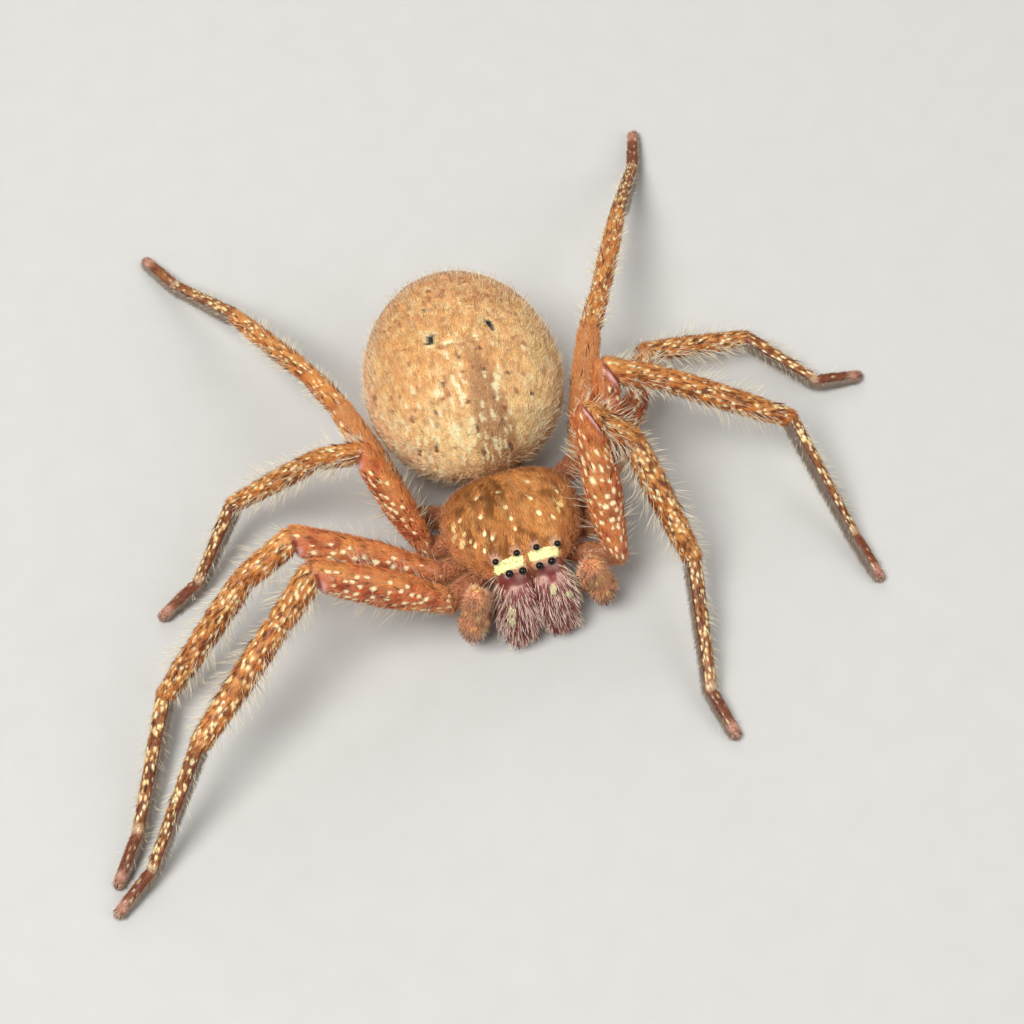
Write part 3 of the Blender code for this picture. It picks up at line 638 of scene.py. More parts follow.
def kept_length(spotted_at):
    """How much of its length a hair keeps, so that its tip doesn't lie over a spot it doesn't root in.

    spotted_at gives how far the hairs are inside spots at a share of their length.
    """
    outside = spotted_at(0.0) < 0.4
    kept = np.ones(len(outside))
    for share in (1.0, 0.75, 0.5, 0.25):
        kept = np.where(outside & (spotted_at(share) > 0.4), share - 0.1, kept)
    return kept


def jittered(draw, length, width, step_x, step_y, keep, size):
    """Ovals in rows over a flat strip, shifted, dropped and sized at random."""
    made = []
    rows = max(1, round(width / step_y))
    columns = max(1, round(length / step_x))
    for row in range(rows):
        for column in range(columns):
            if draw.random() > keep:
                continue
            x = (column + 0.5 * (row % 2) + draw.uniform(-0.3, 0.3)) * step_x
            y = (row + 0.5 + draw.uniform(-0.3, 0.3)) * width / rows
            grown = draw.uniform(0.75, 1.25)
            made.append((x, y, size[0] * grown, size[1] * grown * draw.uniform(0.8, 1.2)))
    return made


# Limbs

LEG_CREASE = 0.12  # how much narrower a limb is at its joints
SMALL_CREASE = 0.1


def smooth_form(form, shares):
    """Half width and half height at shares of a length, with the corners of the form rounded."""
    stations = np.array(form)
    sizes = np.stack([np.interp(shares, stations[:, 0], stations[:, k]) for k in (1, 2)], axis=1)
    reach = max(1, len(shares) // 12)
    padded = np.pad(sizes, ((reach, reach), (0, 0)), mode="edge")
    window = np.ones(2 * reach + 1) / (2 * reach + 1)
    return np.stack([np.convolve(padded[:, k], window, "valid") for k in (0, 1)], axis=1)


def limb(points, forms, girths, sides, step, depth, crease=LEG_CREASE):
    """A closed skin along a limb, with joints round on the outer side of the bend and rounded ends.

    Each row also gets its length number, its distance in mm from that length's start and its end.
    """
    points = [np.asarray(p, float) for p in points]
    runs = list(zip(points, points[1:]))
    axes = [unit(end - start) for start, end in runs]
    turns = 2 * math.pi * np.arange(sides) / sides
    rows, notes = [], []
    for number, ((start, end), form, girth) in enumerate(zip(runs, forms, girths)):
        axis = axes[number]
        across = unit(np.cross(axis, (0, 0, 1)))
        upwards = np.cross(across, axis)
        length = np.linalg.norm(end - start)
        count = max(5, round(length / step))
        places = np.linspace(0, length, count + 1)
        sizes = smooth_form(form, places / length) * girth - depth
        for joint, distance in ((number, places), (number + 1, length - places)):
            if 0 < joint < len(runs):
                sizes = sizes * (1 - crease * np.exp(-(distance / 0.16) ** 2))[:, None]
        offsets = (across * (sizes[:, 0, None, None] * np.cos(turns)[None, :, None])
                   + upwards * (sizes[:, 1, None, None] * np.sin(turns)[None, :, None]))
        shift = np.zeros(offsets.shape[:2])
        for joint, distance in ((number, places), (number + 1, length - places)):
            if not 0 < joint < len(runs):
                continue
            onwards = unit(axes[joint - 1] + axes[joint])
            slope = -(offsets @ onwards) / (axis @ onwards)
            lean = math.sqrt(max(0.0, 1 - (axis @ onwards) ** 2)) / (axis @ onwards)
            reach = min(1.8 * sizes.mean() * lean + 0.05, 0.48 * length)
            shift += slope * np.clip(1 - distance / reach, 0, 1)[:, None]
        made = start + axis * (places[:, None, None] + shift[..., None]) + offsets
        reached = places[:, None] + shift
        for joint, past in ((number, -reached), (number + 1, reached - length)):
            if 0 < joint < len(runs):
                arm = made - points[joint]
                share = np.linalg.norm(offsets, axis=2) / np.maximum(np.linalg.norm(arm, axis=2), 1e-6)
                made = points[joint] + arm * np.where(past > 0, np.minimum(1, share), 1)[..., None]
        if rows:
            rows[-1] = (rows[-1] + made[0]) / 2
            made, places = made[1:], places[1:]
        rows += list(made)
        notes += [(number, place, length - place) for place in places]
    caps = []
    for ring, way, note in ((rows[0], -axes[0], notes[0]), (rows[-1], axes[-1], notes[-1])):
        centre = ring.mean(0)
        reach = np.linalg.norm(ring - centre, axis=1).max()
        domes = [centre + (ring - centre) * math.cos(a) + way * (reach * math.sin(a))
                 for a in (0.25, 0.5, 0.75, 1.0, 1.25, 1.45)]
        caps.append((domes, centre + way * reach, [note] * len(domes)))
    rows = caps[0][0][::-1] + rows + caps[1][0]
    notes = caps[0][2] + notes + caps[1][2]
    skin = Skin(rows, caps[0][1], caps[1][1])
    skin.notes = np.array(notes)
    skin.turns = turns
    return skin


def notes_at(skin, v):
    """Length number, distance from its start and distance to its end, for rows between points."""
    near = np.clip(np.rint(v).astype(int), 0, skin.rows - 1)
    return skin.notes[near].T


def direction(side, swing, pitch):
    swing, pitch = math.radians(swing), math.radians(pitch)
    level = np.array([side * math.cos(swing), -math.sin(swing), 0.0])
    return level * math.cos(pitch) + np.array([0, 0, math.sin(pitch)])


def leg_points(side_name, pair):
    """Coxa root, hip, knee, ends of patella, tibia and metatarsus, and tarsus tip."""
    side = SIDES[side_name]
    hip, swings, pitches = POSE[side_name, pair]
    x, y = COXA_ROOTS[pair]
    points = [np.array([x * side, y, COXA_ROOT_HEIGHT]), np.array([hip[0] * side, hip[1], hip[2]])]
    lengths = LEG_LENGTHS[pair]
    for length, swing, pitch in zip(lengths, swings, pitches):
        points.append(points[-1] + direction(side, swing, pitch) * length)
    for length, swing, height in zip(lengths[3:], swings[3:], (TARSUS_START_HEIGHT, TARSUS_TIP_HEIGHT)):
        pitch = math.degrees(math.asin((height - points[-1][2]) / length))
        points.append(points[-1] + direction(side, swing, pitch) * length)
    return points


# How the marks lie on each length of a leg: (step along, step round, share kept, half sizes)
CREAM_MARKS = {
    FEMUR: (0.6, 0.46, 0.78, (0.145, 0.125)),
    PATELLA: (0.46, 0.38, 0.6, (0.12, 0.09)),
    TIBIA: (0.44, 0.36, 0.6, (0.125, 0.1)),
    METATARSUS: (0.44, 0.36, 0.78, (0.14, 0.11)),
    TARSUS: (0.6, 0.4, 0.45, (0.11, 0.08)),
}
DARK_MARKS = {
    FEMUR: (0.8, 0.6, 0.5, (0.15, 0.055)),
    PATELLA: (0.46, 0.4, 0.75, (0.15, 0.11)),
    TIBIA: (0.44, 0.36, 0.88, (0.17, 0.13)),
    METATARSUS: (0.42, 0.3, 0.85, (0.17, 0.13)),
    TARSUS: (0.42, 0.3, 0.85, (0.18, 0.13)),
}
HIND_KEPT = (0.8, 0.5)  # the shares of cream and dark marks that the hindmost legs keep
# The turn in degrees of the middle of the sole, below the side that faces forwards
SOLE_TURN = -12
SOLE_TURNS = {("left", 2): 8}
# The turn in degrees of the middle of the bare skin at the knee, below the side that faces forwards
KNEE_TURN = -31
# The first two left knees are turned towards the camera, so that their painted highlight faces it
KNEE_TURNS = {("left", 1): 95, ("left", 2): 62}


class LegMarks:
    """The colours of one leg by place, for its skin and its coat alike."""

    def __init__(self, side_name, pair, seed):
        self.side = SIDES[side_name]
        self.sole_turn, self.knee_turn = (
            math.radians(90 + self.side * (turns.get((side_name, pair), usual) - 90))
            for turns, usual in ((SOLE_TURNS, SOLE_TURN), (KNEE_TURNS, KNEE_TURN)))
        self.plain = 0.7 if pair == 4 else 0.0
        draw = np.random.default_rng(seed)
        lengths = (4.0, *LEG_LENGTHS[pair])
        self.girths = [np.mean([w + h for _, w, h in form]) * math.pi for form in LEG_FORMS]
        self.cream, self.dark = {}, {}
        for made, table in ((self.cream, CREAM_MARKS), (self.dark, DARK_MARKS)):
            for number, (step_x, step_y, keep, size) in table.items():
                keep *= HIND_KEPT[table is DARK_MARKS] if pair == 4 else 1
                made[number] = jittered(draw, lengths[number], self.girths[number], step_x, step_y, keep,
                                        size)
        rearmost = {1: -1.0, 2: -0.1, 3: -0.1, 4: 0.7}[pair] if self.side > 0 else {4: 0.7}.get(pair, 0.1)
        self.cream[FEMUR] = [spot for spot in self.cream[FEMUR]
                             if self.side * math.cos(2 * math.pi * spot[1] / self.girths[FEMUR]) > rearmost]

    def sole(self, turn):
        """How far a turn round the leg lies on its sole side, which faces in and forwards."""
        away = np.abs((turn - self.sole_turn + math.pi) % (2 * math.pi) - math.pi)
        return 1 - ease(away, math.radians(46), math.radians(62))

    def foot_sole(self, number, turn):
        return self.sole(turn) * (number >= METATARSUS)

    def knee(self, number, end, turn):
        """The bare glossy skin at the far end of the femur, on the side that faces forwards."""
        low, high = (0.45, 0.75) if self.side > 0 else (-0.4, -0.05)
        near = (number == FEMUR) * (1 - ease(end, 0.7, 1.0)) * (self.plain == 0)
        return near * ease(self.faces_knee(turn), low, high)

    def faces_knee(self, turn):
        """How squarely a turn faces the middle of the knee's bare skin, from -1 to 1."""
        return np.cos(turn - self.knee_turn)

    def spotted(self, table, number, start, turn):
        """How far places lie inside the spots of a table."""
        inside = np.zeros(len(turn))
        around = turn % (2 * math.pi) / (2 * math.pi)
        for segment, places in table.items():
            here = number == segment
            inside[here] = spots(places, start[here], around[here] * self.girths[segment])
        return inside

    def cream_share(self, notes, turn):
        number, start, end = notes
        bare = self.knee(number, end, turn)
        return self.spotted(self.cream, number, start, turn) * (1 - bare) * (1 - self.foot_sole(number, turn))

    def tint(self, points, notes, turn):
        number, start, end = notes
        blotch, fine = mottle(points, 0.9), mottle(points + 40, 0.28)
        on_femur, on_tarsus = number == FEMUR, number == TARSUS
        femur = on_femur[:, None]
        base = np.where((number >= PATELLA)[:, None], GOLD_RUST,
                        mix(RUST, RUST_TAN, 0.6 * ease(mottle(points + 27, 0.22), 0.4, 0.75)))
        base = np.where((number >= METATARSUS)[:, None], FOOT_BROWN, base)
        red = on_femur * (1 - self.plain)
        # The upper side of the leg: its gold is partly the hair's own colour and partly painted light where the
        # top hairs catch it
        top = ease(np.sin(turn) - 0.35 * self.side * np.cos(turn), 0.35, 1.0)
        golden = np.choose(number.astype(int), (0.0, 0.35, 0.75, 0.75, 0.2, 0.0))
        dark, bare = self.spotted(self.dark, number, start, turn), self.knee(number, end, turn)
        warm = np.where(femur, CREAM, mix(FLECK, CREAM, 0.4 + 0.6 * ease(fine, 0.4, 0.7)))
        sole = self.foot_sole(number, turn)
        ring = (number == METATARSUS) * (1 - ease(end, 0.3, 0.7)) * (1 - sole)
        # Painted highlight: a pale pink strip in SHEEN across the knee's bare skin near the joint
        painted_highlight = np.exp(-((end - 0.38) / 0.14) ** 2)
        painted_highlight = painted_highlight * ease(self.faces_knee(turn), *((0.8, 0.95) if self.side > 0 else (0.1, 0.6)))
        bald = mix(MEMBRANE, MAROON, 0.5 if self.side > 0 else 0.0)
        joint = np.exp(-(np.minimum(start, end) / 0.12) ** 2) * (number != COXA)
        return layered(
            base,
            (RUST_DEEP, 0.6 * ease(fine, 0.45, 0.85) * (1 - red)),
            (RUST_RED, 0.75 * ease(fine, 0.45, 0.7) * red),
            (RUST_GOLD, 0.5 * ease(blotch, 0.5, 0.85)),
            # Gold on the upper side: the hair's own colour with painted light
            (RUST_GOLD, golden * top * ease(mottle(points + 11, 0.4), 0.2, 0.55)),
            (COXA_BROWN, 0.75 * (number == COXA)),
            (COXA_BROWN, 0.5 * (on_femur * (1 - ease(start, 0.3, 1.4)))),
            (HIND_TAN, self.plain * on_femur),
            (np.where(femur, BROWN, DARK_FLECK), 0.9 * dark * (1 - bare)),
            (warm, self.cream_share(notes, turn)),
            (SOLE_GREY, sole),
            (MAROON, 0.95 * (ease(sole, 0.02, 0.2) * (1 - ease(sole, 0.8, 1.0)))),
            (mix(CREAM, FOOT_PINK, 0.5), 0.8 * ring),
            (MAROON, 0.5 * on_tarsus * ease(end, 0.5, 0.9) * (1 - sole)),
            (FOOT_PINK, 0.85 * (on_tarsus * (1 - ease(end, 0.3, 0.8)))),
            # The knee's bare skin, with its painted highlight and a dark line at the joint
            (mix(mix(bald, SHEEN, 0.9 * painted_highlight), MAROON, 0.9 * (1 - ease(end, 0.1, 0.28))), 0.9 * bare),
            (RUST_DEEP, 0.6 * joint * (1 - bare)))


LEG_SIDES = 56
LEG_STEP = 0.125
FOOT_FLOOR = 0.04


def make_leg(side_name, pair):
    name = f"leg{pair}_{side_name}"
    seed = SEEDS["leg"] + 10 * pair + (side_name == "left")
    girths = (1.0,) + (LEG_GIRTH[pair],) * 3 + (1.0, 1.0)
    skin = limb(leg_points(side_name, pair), LEG_FORMS, girths, LEG_SIDES, LEG_STEP, LEG_COAT)
    skin.rings[..., 2] = np.maximum(skin.rings[..., 2], FOOT_FLOOR)
    marks = LegMarks(side_name, pair, seed)
    grid = np.repeat(skin.notes[:, None], skin.sides, 1).reshape(-1, 3).T
    turn = np.tile(skin.turns, skin.rows)
    shape = skin.rows, skin.sides
    tint = marks.tint(skin.rings.reshape(-1, 3), grid, turn).reshape(*shape, 3)
    bare, cream, sole = (field.reshape(shape) for field in (
        marks.knee(grid[0], grid[2], turn), marks.cream_share(grid, turn), marks.foot_sole(grid[0], turn)))
    nodes = [f"{name}_{part}" for part in ("coxa", "femur", "tibia", "foot")]
    # Painted shade: the skin under the hair is darkened to three quarters, except where it is bare or in the
    # cream spots
    shaded = tint * (0.75 + 0.25 * np.maximum(bare, cream)[..., None])
    skin_piece(f"{name}_skin", skin, shaded, bare, "leg", nodes)

    coat = Coat(skin, seed)
    number, _, end = skin.notes.T[:, :, None]
    coat.sow("leg_short", (1 - 0.96 * bare) * (1 + 0.5 * (number >= METATARSUS)) * (1 + 1.5 * cream))
    short_coat(coat, marks)

    # The soft grey brush of the sole, which stands out past the foot's edge
    coat.sow("sole_brush", ease(sole, 0.75, 1.0) + FEW)
    lie = coat.lean(0.25)
    shade = coat.shade(0.7, 1.25)
    grey = mix(SOLE_GREY, MAROON, 0.2 * mottle(coat.root, 0.4)) * shade
    coat.grow("sole_brush", lie, grey, grey * 1.3)

    # Long pale hairs that stand out from both sides of the leg
    flank = np.abs(np.cos(skin.turns))[None] ** 3 * (0.35 + 0.65 * (number > FEMUR)) * (number != COXA)
    flank = flank * (1 - 0.9 * bare) * (1 - 0.75 * (number == TARSUS)) * (1 - 0.5 * sole)
    coat.sow("leg_fringe", flank + FEW)
    lie = coat.lean(0.25)
    pale = FRINGE * coat.shade(0.8, 1.05)
    part, before, after = notes_at(skin, coat.places[0])
    full = 0.5 + 0.5 * np.sin(math.pi * before / np.maximum(before + after, 0.01))
    full = full * np.where((part == FEMUR) & (after < 2.2), 0.3 + 0.3 * (after > 1.2), 1.0)
    full = full * np.where(part >= METATARSUS, 0.6, 1.0) * (0.65 if pair == 4 else 1.0)
    coat.grow("leg_fringe", lie, pale * 0.9, pale, length=coat.vary(0.85, 1.7) * full)

    # Dark spines that lie along the leg
    upper = ease(np.sin(skin.turns), -0.5, 0.2)[None] * (number >= FEMUR) * (number < TARSUS) * (end > 1.0)
    coat.sow("leg_spine", upper * (1 - sole) + NONE)
    coat.grow("leg_spine", coat.lean(0.2), BROWN)

    # Dark tufts under the claws
    coat.sow("foot_tuft", (number == TARSUS) * (end < 0.05) * 1.0 * np.ones(shape) + NONE)
    lie = coat.lean(0.35)
    tuft = mix(mix(FOOT_PINK, FRINGE, 0.4), BROWN, ease(coat.vary(0, 1), 0.5, 0.8))
    coat.grow("foot_tuft", lie, tuft)
    coat.piece(f"{name}_coat", "coat", "leg")

    # Two curved claws at the tip of the foot
    claws = Coat(skin, seed + 1)
    claws.plant(np.full(2, skin.rows - 2.5), np.array([0.19, 0.31]) * skin.sides)
    claws.grow("claw", unit(skin.poles[1] - skin.rings[-8].mean(0)), HORN)
    claws.piece(f"{name}_claws", "horn", "dark horn")


def short_coat(coat, marks):
    """Short hair that lies along the leg, lighter at the tips, in the colours of the marks."""
    v, u = coat.places
    number, start, end = notes = notes_at(coat.skin, v)
    turn = u / coat.skin.sides * 2 * math.pi
    tint = marks.tint(coat.root, notes, turn)
    lie = coat.lean(0.2)
    shade = coat.shade(0.78, 1.22)
    cream = marks.cream_share(notes, turn) > 0.4
    length = np.where(number >= METATARSUS, 0.3, 0.4) * coat.vary(0.7, 1.3)
    length = np.where(cream, coat.vary(0.12, 0.2), length)
    length = length * kept_length(
        lambda share: marks.cream_share((number, start + share * length, end), turn))
    lift = np.where(cream, coat.vary(0.35, 0.8), coat.vary(0.12, 0.45))
    lift = np.where(number == COXA, coat.vary(0.2, 0.75), lift)
    length = np.where(number == COXA, length * 1.35, length)
    shade = np.where(cream[:, None], 1.0, shade)
    tip = mix(tint, RUST_GOLD, np.where(cream, 0.0, 0.25))
    coat.grow("leg_short", lie, tint * shade, tip * shade, length=length, lift=lift)


# Head and carapace


def carapace_outline(turn):
    """Distance from the carapace's upright axis to its rim. Turn 0 is +X and a quarter turn is the rear."""
    across, along = np.abs(np.cos(turn)) / CARAPACE_HALF_WIDTH, np.sin(turn)
    halves = [(across**power + (np.abs(along) / reach) ** power) ** (-1 / power)
              for reach, power in ((CARAPACE_REAR, CARAPACE_REAR_POWER), (CARAPACE_FRONT, CARAPACE_FRONT_POWER))]
    return np.where(along > 0, *halves)


def carapace_point(turn, share):
    radius = carapace_outline(turn) * share
    rise = (CARAPACE_RISE - CARAPACE_RIM) * np.sqrt(np.maximum(0.0, 1 - share**2))
    x, y = radius * np.cos(turn), CARAPACE_CENTRE_Y + radius * np.sin(turn)
    return np.stack([x, y, CARAPACE_UNDERSIDE + CARAPACE_RIM + rise + 0 * x], axis=-1)


def on_carapace(x, forward):
    """A point of the dome over a place in plan, and the way out of the surface there."""
    turn = math.atan2(-forward, x)
    share = math.hypot(x, forward) / carapace_outline(np.array(turn))
    step = 0.02
    around = carapace_point(turn + step, share) - carapace_point(turn - step, share)
    inwards = carapace_point(turn, share - step) - carapace_point(turn, share + step)
    return carapace_point(turn, share), -unit(np.cross(inwards, around))


# Cream dots of the carapace in plan, with their half sizes, and its paler patches at the sides
CARAPACE_DOTS = (
    (-0.41, 0.18, 0.2, 0.13), (-0.34, -0.91, 0.13, 0.16), (-0.27, -1.68, 0.12, 0.15),
    (-0.23, -2.27, 0.1, 0.12),
    (1.14, -0.81, 0.14, 0.14), (1.32, -1.75, 0.16, 0.18), (2.04, -2.14, 0.13, 0.15),
    (-1.82, -0.96, 0.14, 0.14),
    (-1.9, -1.95, 0.13, 0.16), (-2.54, -2.3, 0.13, 0.15), (-2.15, -2.78, 0.12, 0.14),
    (-1.57, -2.35, 0.12, 0.13),
    (1.35, 0.3, 0.12, 0.14), (-1.7, 0.25, 0.12, 0.14), (2.75, -0.6, 0.13, 0.13), (-2.9, -0.6, 0.13, 0.13),
)
CARAPACE_PATCHES = ((-3.44, -1.31, 0.2, 0.22), (-3.15, -1.9, 0.22, 0.2), (2.67, -1.39, 0.22, 0.2),
                    (-3.3, -0.85, 0.13, 0.22), (-2.9, -1.45, 0.13, 0.16), (2.45, -1.75, 0.12, 0.24),
                    (2.9, -1.0, 0.12, 0.18), (-3.6, -0.6, 0.1, 0.14), (-2.7, -2.0, 0.1, 0.1),
                    (3.1, -0.5, 0.1, 0.12))
# The yellow bars between the eye rows, from one end to the other in plan, and their half depth
EYE_BARS = ((-1.72, -3.86, -0.5, -3.88, 0.25), (0.24, -3.88, 1.6, -3.84, 0.22))


def eye_places():
    for name, (x, forward, radius) in EYES.items():
        for side_name, side in SIDES.items():
            point, outwards = on_carapace(x * side, forward)
            yield f"eye_{name}_{side_name}", point, outwards, radius


def bar_share(points):
    """How far points of the head lie inside the yellow bars, whose edges are ragged."""
    inside = np.zeros(points.shape[:-1])
    ragged = 0.05 * (mottle(points, 0.12) - 0.5)
    for x0, y0, x1, y1, depth in EYE_BARS:
        along = np.clip((points[..., 0] - x0) / (x1 - x0), 0, 1)
        away = np.hypot(points[..., 0] - x0 - along * (x1 - x0), points[..., 1] - y0 - along * (y1 - y0))
        inside = np.maximum(inside, 1 - ease(away + ragged, depth * 0.88, depth * 1.0))
    return inside


def carapace_spots(points):
    """How far points lie inside the cream dots, the golden flecks and the yellow bars."""
    marks = spots(CARAPACE_DOTS + CARAPACE_PATCHES, points[..., 0], points[..., 1])
    return np.maximum(marks, bar_share(points))


def carapace_tint(points):
    x, y, z = np.moveaxis(points, -1, 0)
    edge = ease(np.hypot(x / 4.0, (y + 1.0) / 3.7), 0.6, 1.0)
    streaks = mottle(points * (1.0, 0.55, 1.0) + 9, 0.26)
    worn = mottle(points * (1, 0.6, 1) + 21, 0.3)
    groove = np.exp(-((x + 0.3) / 0.16) ** 2) * ease(y, -1.6, -0.6) * (1 - ease(y, 0.6, 1.2))
    torn = 0.16 * (mottle(points + 50, 0.16) - 0.5)
    face = (1 - ease(y, -4.3, -4.05)) * (1 - ease(z, 4.5, 4.95))
    sockets = [(SOCKET, 0.9 * (1 - ease(np.linalg.norm(points - eye, axis=-1), radius * 1.35, radius * 1.6)))
               for _, eye, _, radius in EYE_PLACES]
    return layered(
        SHIELD,
        (SHIELD_EDGE, 0.85 * edge),
        (RUST_GOLD, 0.5 * ease(mottle(points, 0.6), 0.45, 0.8) * (1 - 0.6 * edge)),
        (SHIELD_DARK, 0.85 * ease(streaks, 0.5, 0.72)),
        (SAND, 0.7 * ease(worn, 0.55, 0.78) * (1 - 0.5 * edge)),
        # Painted shade: the +X side of the carapace is darker
        (SHIELD_DARK, 0.45 * ease(x, 1.0, 3.0)),
        (SHIELD_DARK, 0.35 * groove),
        (mix(FLECK, DOT_YELLOW, 0.35), 0.85 * spots(CARAPACE_PATCHES, x + torn, y - torn)),
        (mix(CREAM, DOT_YELLOW, 0.6), spots(CARAPACE_DOTS, x + 0.4 * torn, y - 0.4 * torn)),
        (MAROON, 0.85 * face),
        *sockets,
        (BAR_YELLOW, bar_share(points)))


def make_carapace():
    sides = 160
    turns = 2 * math.pi * np.arange(sides) / sides
    rings = [carapace_point(turns, share) for share in np.sin(np.linspace(0.02, math.pi / 2, 84))]
    rim = rings[-1]
    centre = np.array([0, CARAPACE_CENTRE_Y, 0])
    for share, height in ((0.995, 0.2), (0.985, 0.12), (0.97, 0.04), (0.94, 0.0), (0.85, 0.0), (0.6, 0.0),
                          (0.3, 0.0), (0.08, 0.0)):
        ring = centre + (rim - centre) * share
        ring[:, 2] = CARAPACE_UNDERSIDE + height
        rings.append(ring)
    rings = np.array(rings)
    middle = np.array([0, CARAPACE_CENTRE_Y, CARAPACE_UNDERSIDE])
    out = unit((rings - middle) * (1, 1, 2))
    rings = rings - out * BODY_COAT
    groove = np.exp(-((rings[..., 0] + 0.25) / 0.2) ** 2)
    groove = groove * ease(rings[..., 1], -1.6, -0.6) * (1 - ease(rings[..., 1], 0.6, 1.2))
    rings[..., 2] -= 0.16 * groove * (rings[..., 2] > 5)
    for _, eye, outwards, radius in EYE_PLACES:
        away = np.linalg.norm(rings - eye, axis=-1, keepdims=True)
        rings = rings + outwards * (0.17 * (1 - ease(away, radius * 1.0, radius * 1.9)))
    top = rings[0].mean(0)
    skin = Skin(rings, top, rings[-1].mean(0))
    tint = carapace_tint(skin.rings)
    marked = carapace_spots(skin.rings)
    gloss = 0.35 * (1 - ease(skin.rings[..., 1], -4.3, -4.0))
    # Painted shade: the skin under the hair is darkened, except in the marks
    shaded = tint * (0.8 + 0.2 * marked[..., None])
    skin_piece("carapace_skin", skin, shaded, gloss, "carapace", ["carapace"])

    coat = Coat(skin, SEEDS["carapace"])
    height = skin.rings[..., 2]
    bars = bar_share(skin.rings)
    weight = ease(height, 3.7, 3.9) * (1 + 2.0 * marked) * (1 - ease(bars, 0.3, 0.9))
    for _, eye, _, radius in EYE_PLACES:
        weight = weight * ease(np.linalg.norm(skin.rings - eye, axis=-1), radius * 1.1, radius * 1.3)
    coat.sow("carapace_short", weight + NONE)
    root = coat.root
    tint = carapace_tint(root)
    away = root - np.array([0, 0.2, 0])
    lie = unit(coat.lean(0.3, unit(away * (1, 1, 0)) * (-0.7, -0.7, 0) + np.array([0, 0.5, 0])))
    marked = carapace_spots(root) > 0.4
    shade = coat.shade(0.65, 1.35)
    length = 0.42 * coat.vary(0.6, 1.4) * (1 - 0.45 * ease(-root[:, 1], 3.2, 4.0))
    length = np.where(marked, coat.vary(0.1, 0.17), length)
    length = length * kept_length(lambda share: carapace_spots(root + lie * (share * length)[:, None]))
    for _, eye, _, radius in EYE_PLACES:
        over = np.linalg.norm(root + lie * length[:, None] - eye, axis=-1) < radius
        length = np.where(over, length * 0.4, length)
    tint = tint * np.where(marked[:, None], 1.0, shade)
    tip = mix(tint, RUST_GOLD, np.where(marked, 0.0, 0.15))
    lift = np.where(marked, coat.vary(0.15, 0.35), coat.vary(0.1, 0.45))
    width = np.where(marked, 0.07, coat.vary(0.045, 0.08))
    coat.grow("carapace_short", lie, tint, tip, length=length, width=width, lift=lift)

    # Fine hairs that stand out from the margin, and longer ones over the face
    margin = (height > 3.75) * (1 - ease(height, 4.6, 5.2)) * ease(skin.rings[..., 1], -4.0, -3.2)
    coat.sow("margin", margin + NONE)
    fine = mix(SHIELD_EDGE, SAND_PINK, coat.vary(0.2, 0.9))
    lie = coat.lean(0.4, (coat.root - (0, -0.7, 3.7)) * (0, 0, 1) + np.array([0, 1.0, 0.3]))
    coat.grow("margin", lie, fine)
    coat.sow("face", weight * ease(-skin.rings[..., 1], 2.0, 4.2) + NONE)
    long = mix(RUST_DEEP, SAND_PINK, coat.vary(0.0, 0.8))
    lie = coat.lean(0.4, np.array([0, -1.0, 0]))
    coat.grow("face", lie, long)
    coat.piece("carapace_coat", "coat", "carapace")


EYE_PLACES = list(eye_places())


def make_bars():
    """Two thin plates of flat yellow scales between the rows of eyes, with ragged edges."""
    for number, (x0, y0, x1, y1, depth) in enumerate(EYE_BARS):
        deselect()
        bpy.ops.mesh.primitive_grid_add(x_subdivisions=90, y_subdivisions=30, size=2.0)
        plate = bpy.context.object
        plate.name = plate.data.name = f"eye_bar_{number}"
        along, across, level = read(plate.data.vertices, "co", 3).T
        place = np.stack([2 * along, across, level + number], axis=1)
        reach = (x1 - x0) / 2 + 0.85 * depth
        x = (x0 + x1) / 2 + along * reach + 0.1 * (mottle(place, 0.16) - 0.5)
        narrow = 1 - 0.3 * ease(np.abs(along), 0.8, 1.0) + 0.2 * (mottle(place + 20, 0.2) - 0.5)
        y = (y0 + y1) / 2 + along * (y1 - y0) / 2 + across * depth * narrow
        turn = np.arctan2(y - CARAPACE_CENTRE_Y, x)
        points = carapace_point(turn, np.hypot(x, y - CARAPACE_CENTRE_Y) / carapace_outline(turn))
        out = unit((points - (0, CARAPACE_CENTRE_Y, CARAPACE_UNDERSIDE)) * (1, 1, 2))
        points = points - out * (0.05 + 0.025 * mottle(points * (1, 0.5, 1), 0.09)[:, None])
        plate.data.vertices.foreach_set("co", placed(points).ravel())
        tint = BAR_YELLOW * (0.93 + 0.09 * mottle(points * (1, 0.5, 1) + 60, 0.12))[:, None]
        write_attribute(plate.data, "tint", "FLOAT_COLOR", with_alpha(np.clip(tint, 0, 1)))
        plate.data.uv_layers[0].name = "OFBake"
        solid = plate.modifiers.new("thickness", "SOLIDIFY")
        solid.thickness = 0.08 * MM
        solid.offset = -1.0
        bpy.ops.object.modifier_apply(modifier=solid.name)
        bpy.ops.object.shade_smooth()
        declare(plate, "coat")


def make_eyes():
    """Domed lenses in their sockets, each a ball that sits as deep as the solid's eye."""
    for name, point, outwards, radius in EYE_PLACES:
        deselect()
        centre = placed(point + outwards * EYE_LIFT)
        radius *= next(share for kind, share in LENS_SHARE.items() if kind in name)
        bpy.ops.mesh.primitive_uv_sphere_add(segments=28, ring_count=16, radius=radius * MM, location=centre)
        bpy.ops.object.transform_apply(location=True, rotation=True, scale=True)
        bpy.ops.object.shade_smooth()
        lens = bpy.context.object
        lens.name = lens.data.name = name.replace("eye_", "lens_")
        declare(lens, "eye", [name])


# Hind body


def abdomen_matrix():
    yaw = Matrix.Rotation(math.radians(ABDOMEN_YAW), 3, "Z")
    return np.array(yaw @ Matrix.Rotation(math.radians(ABDOMEN_PITCH), 3, "X"))


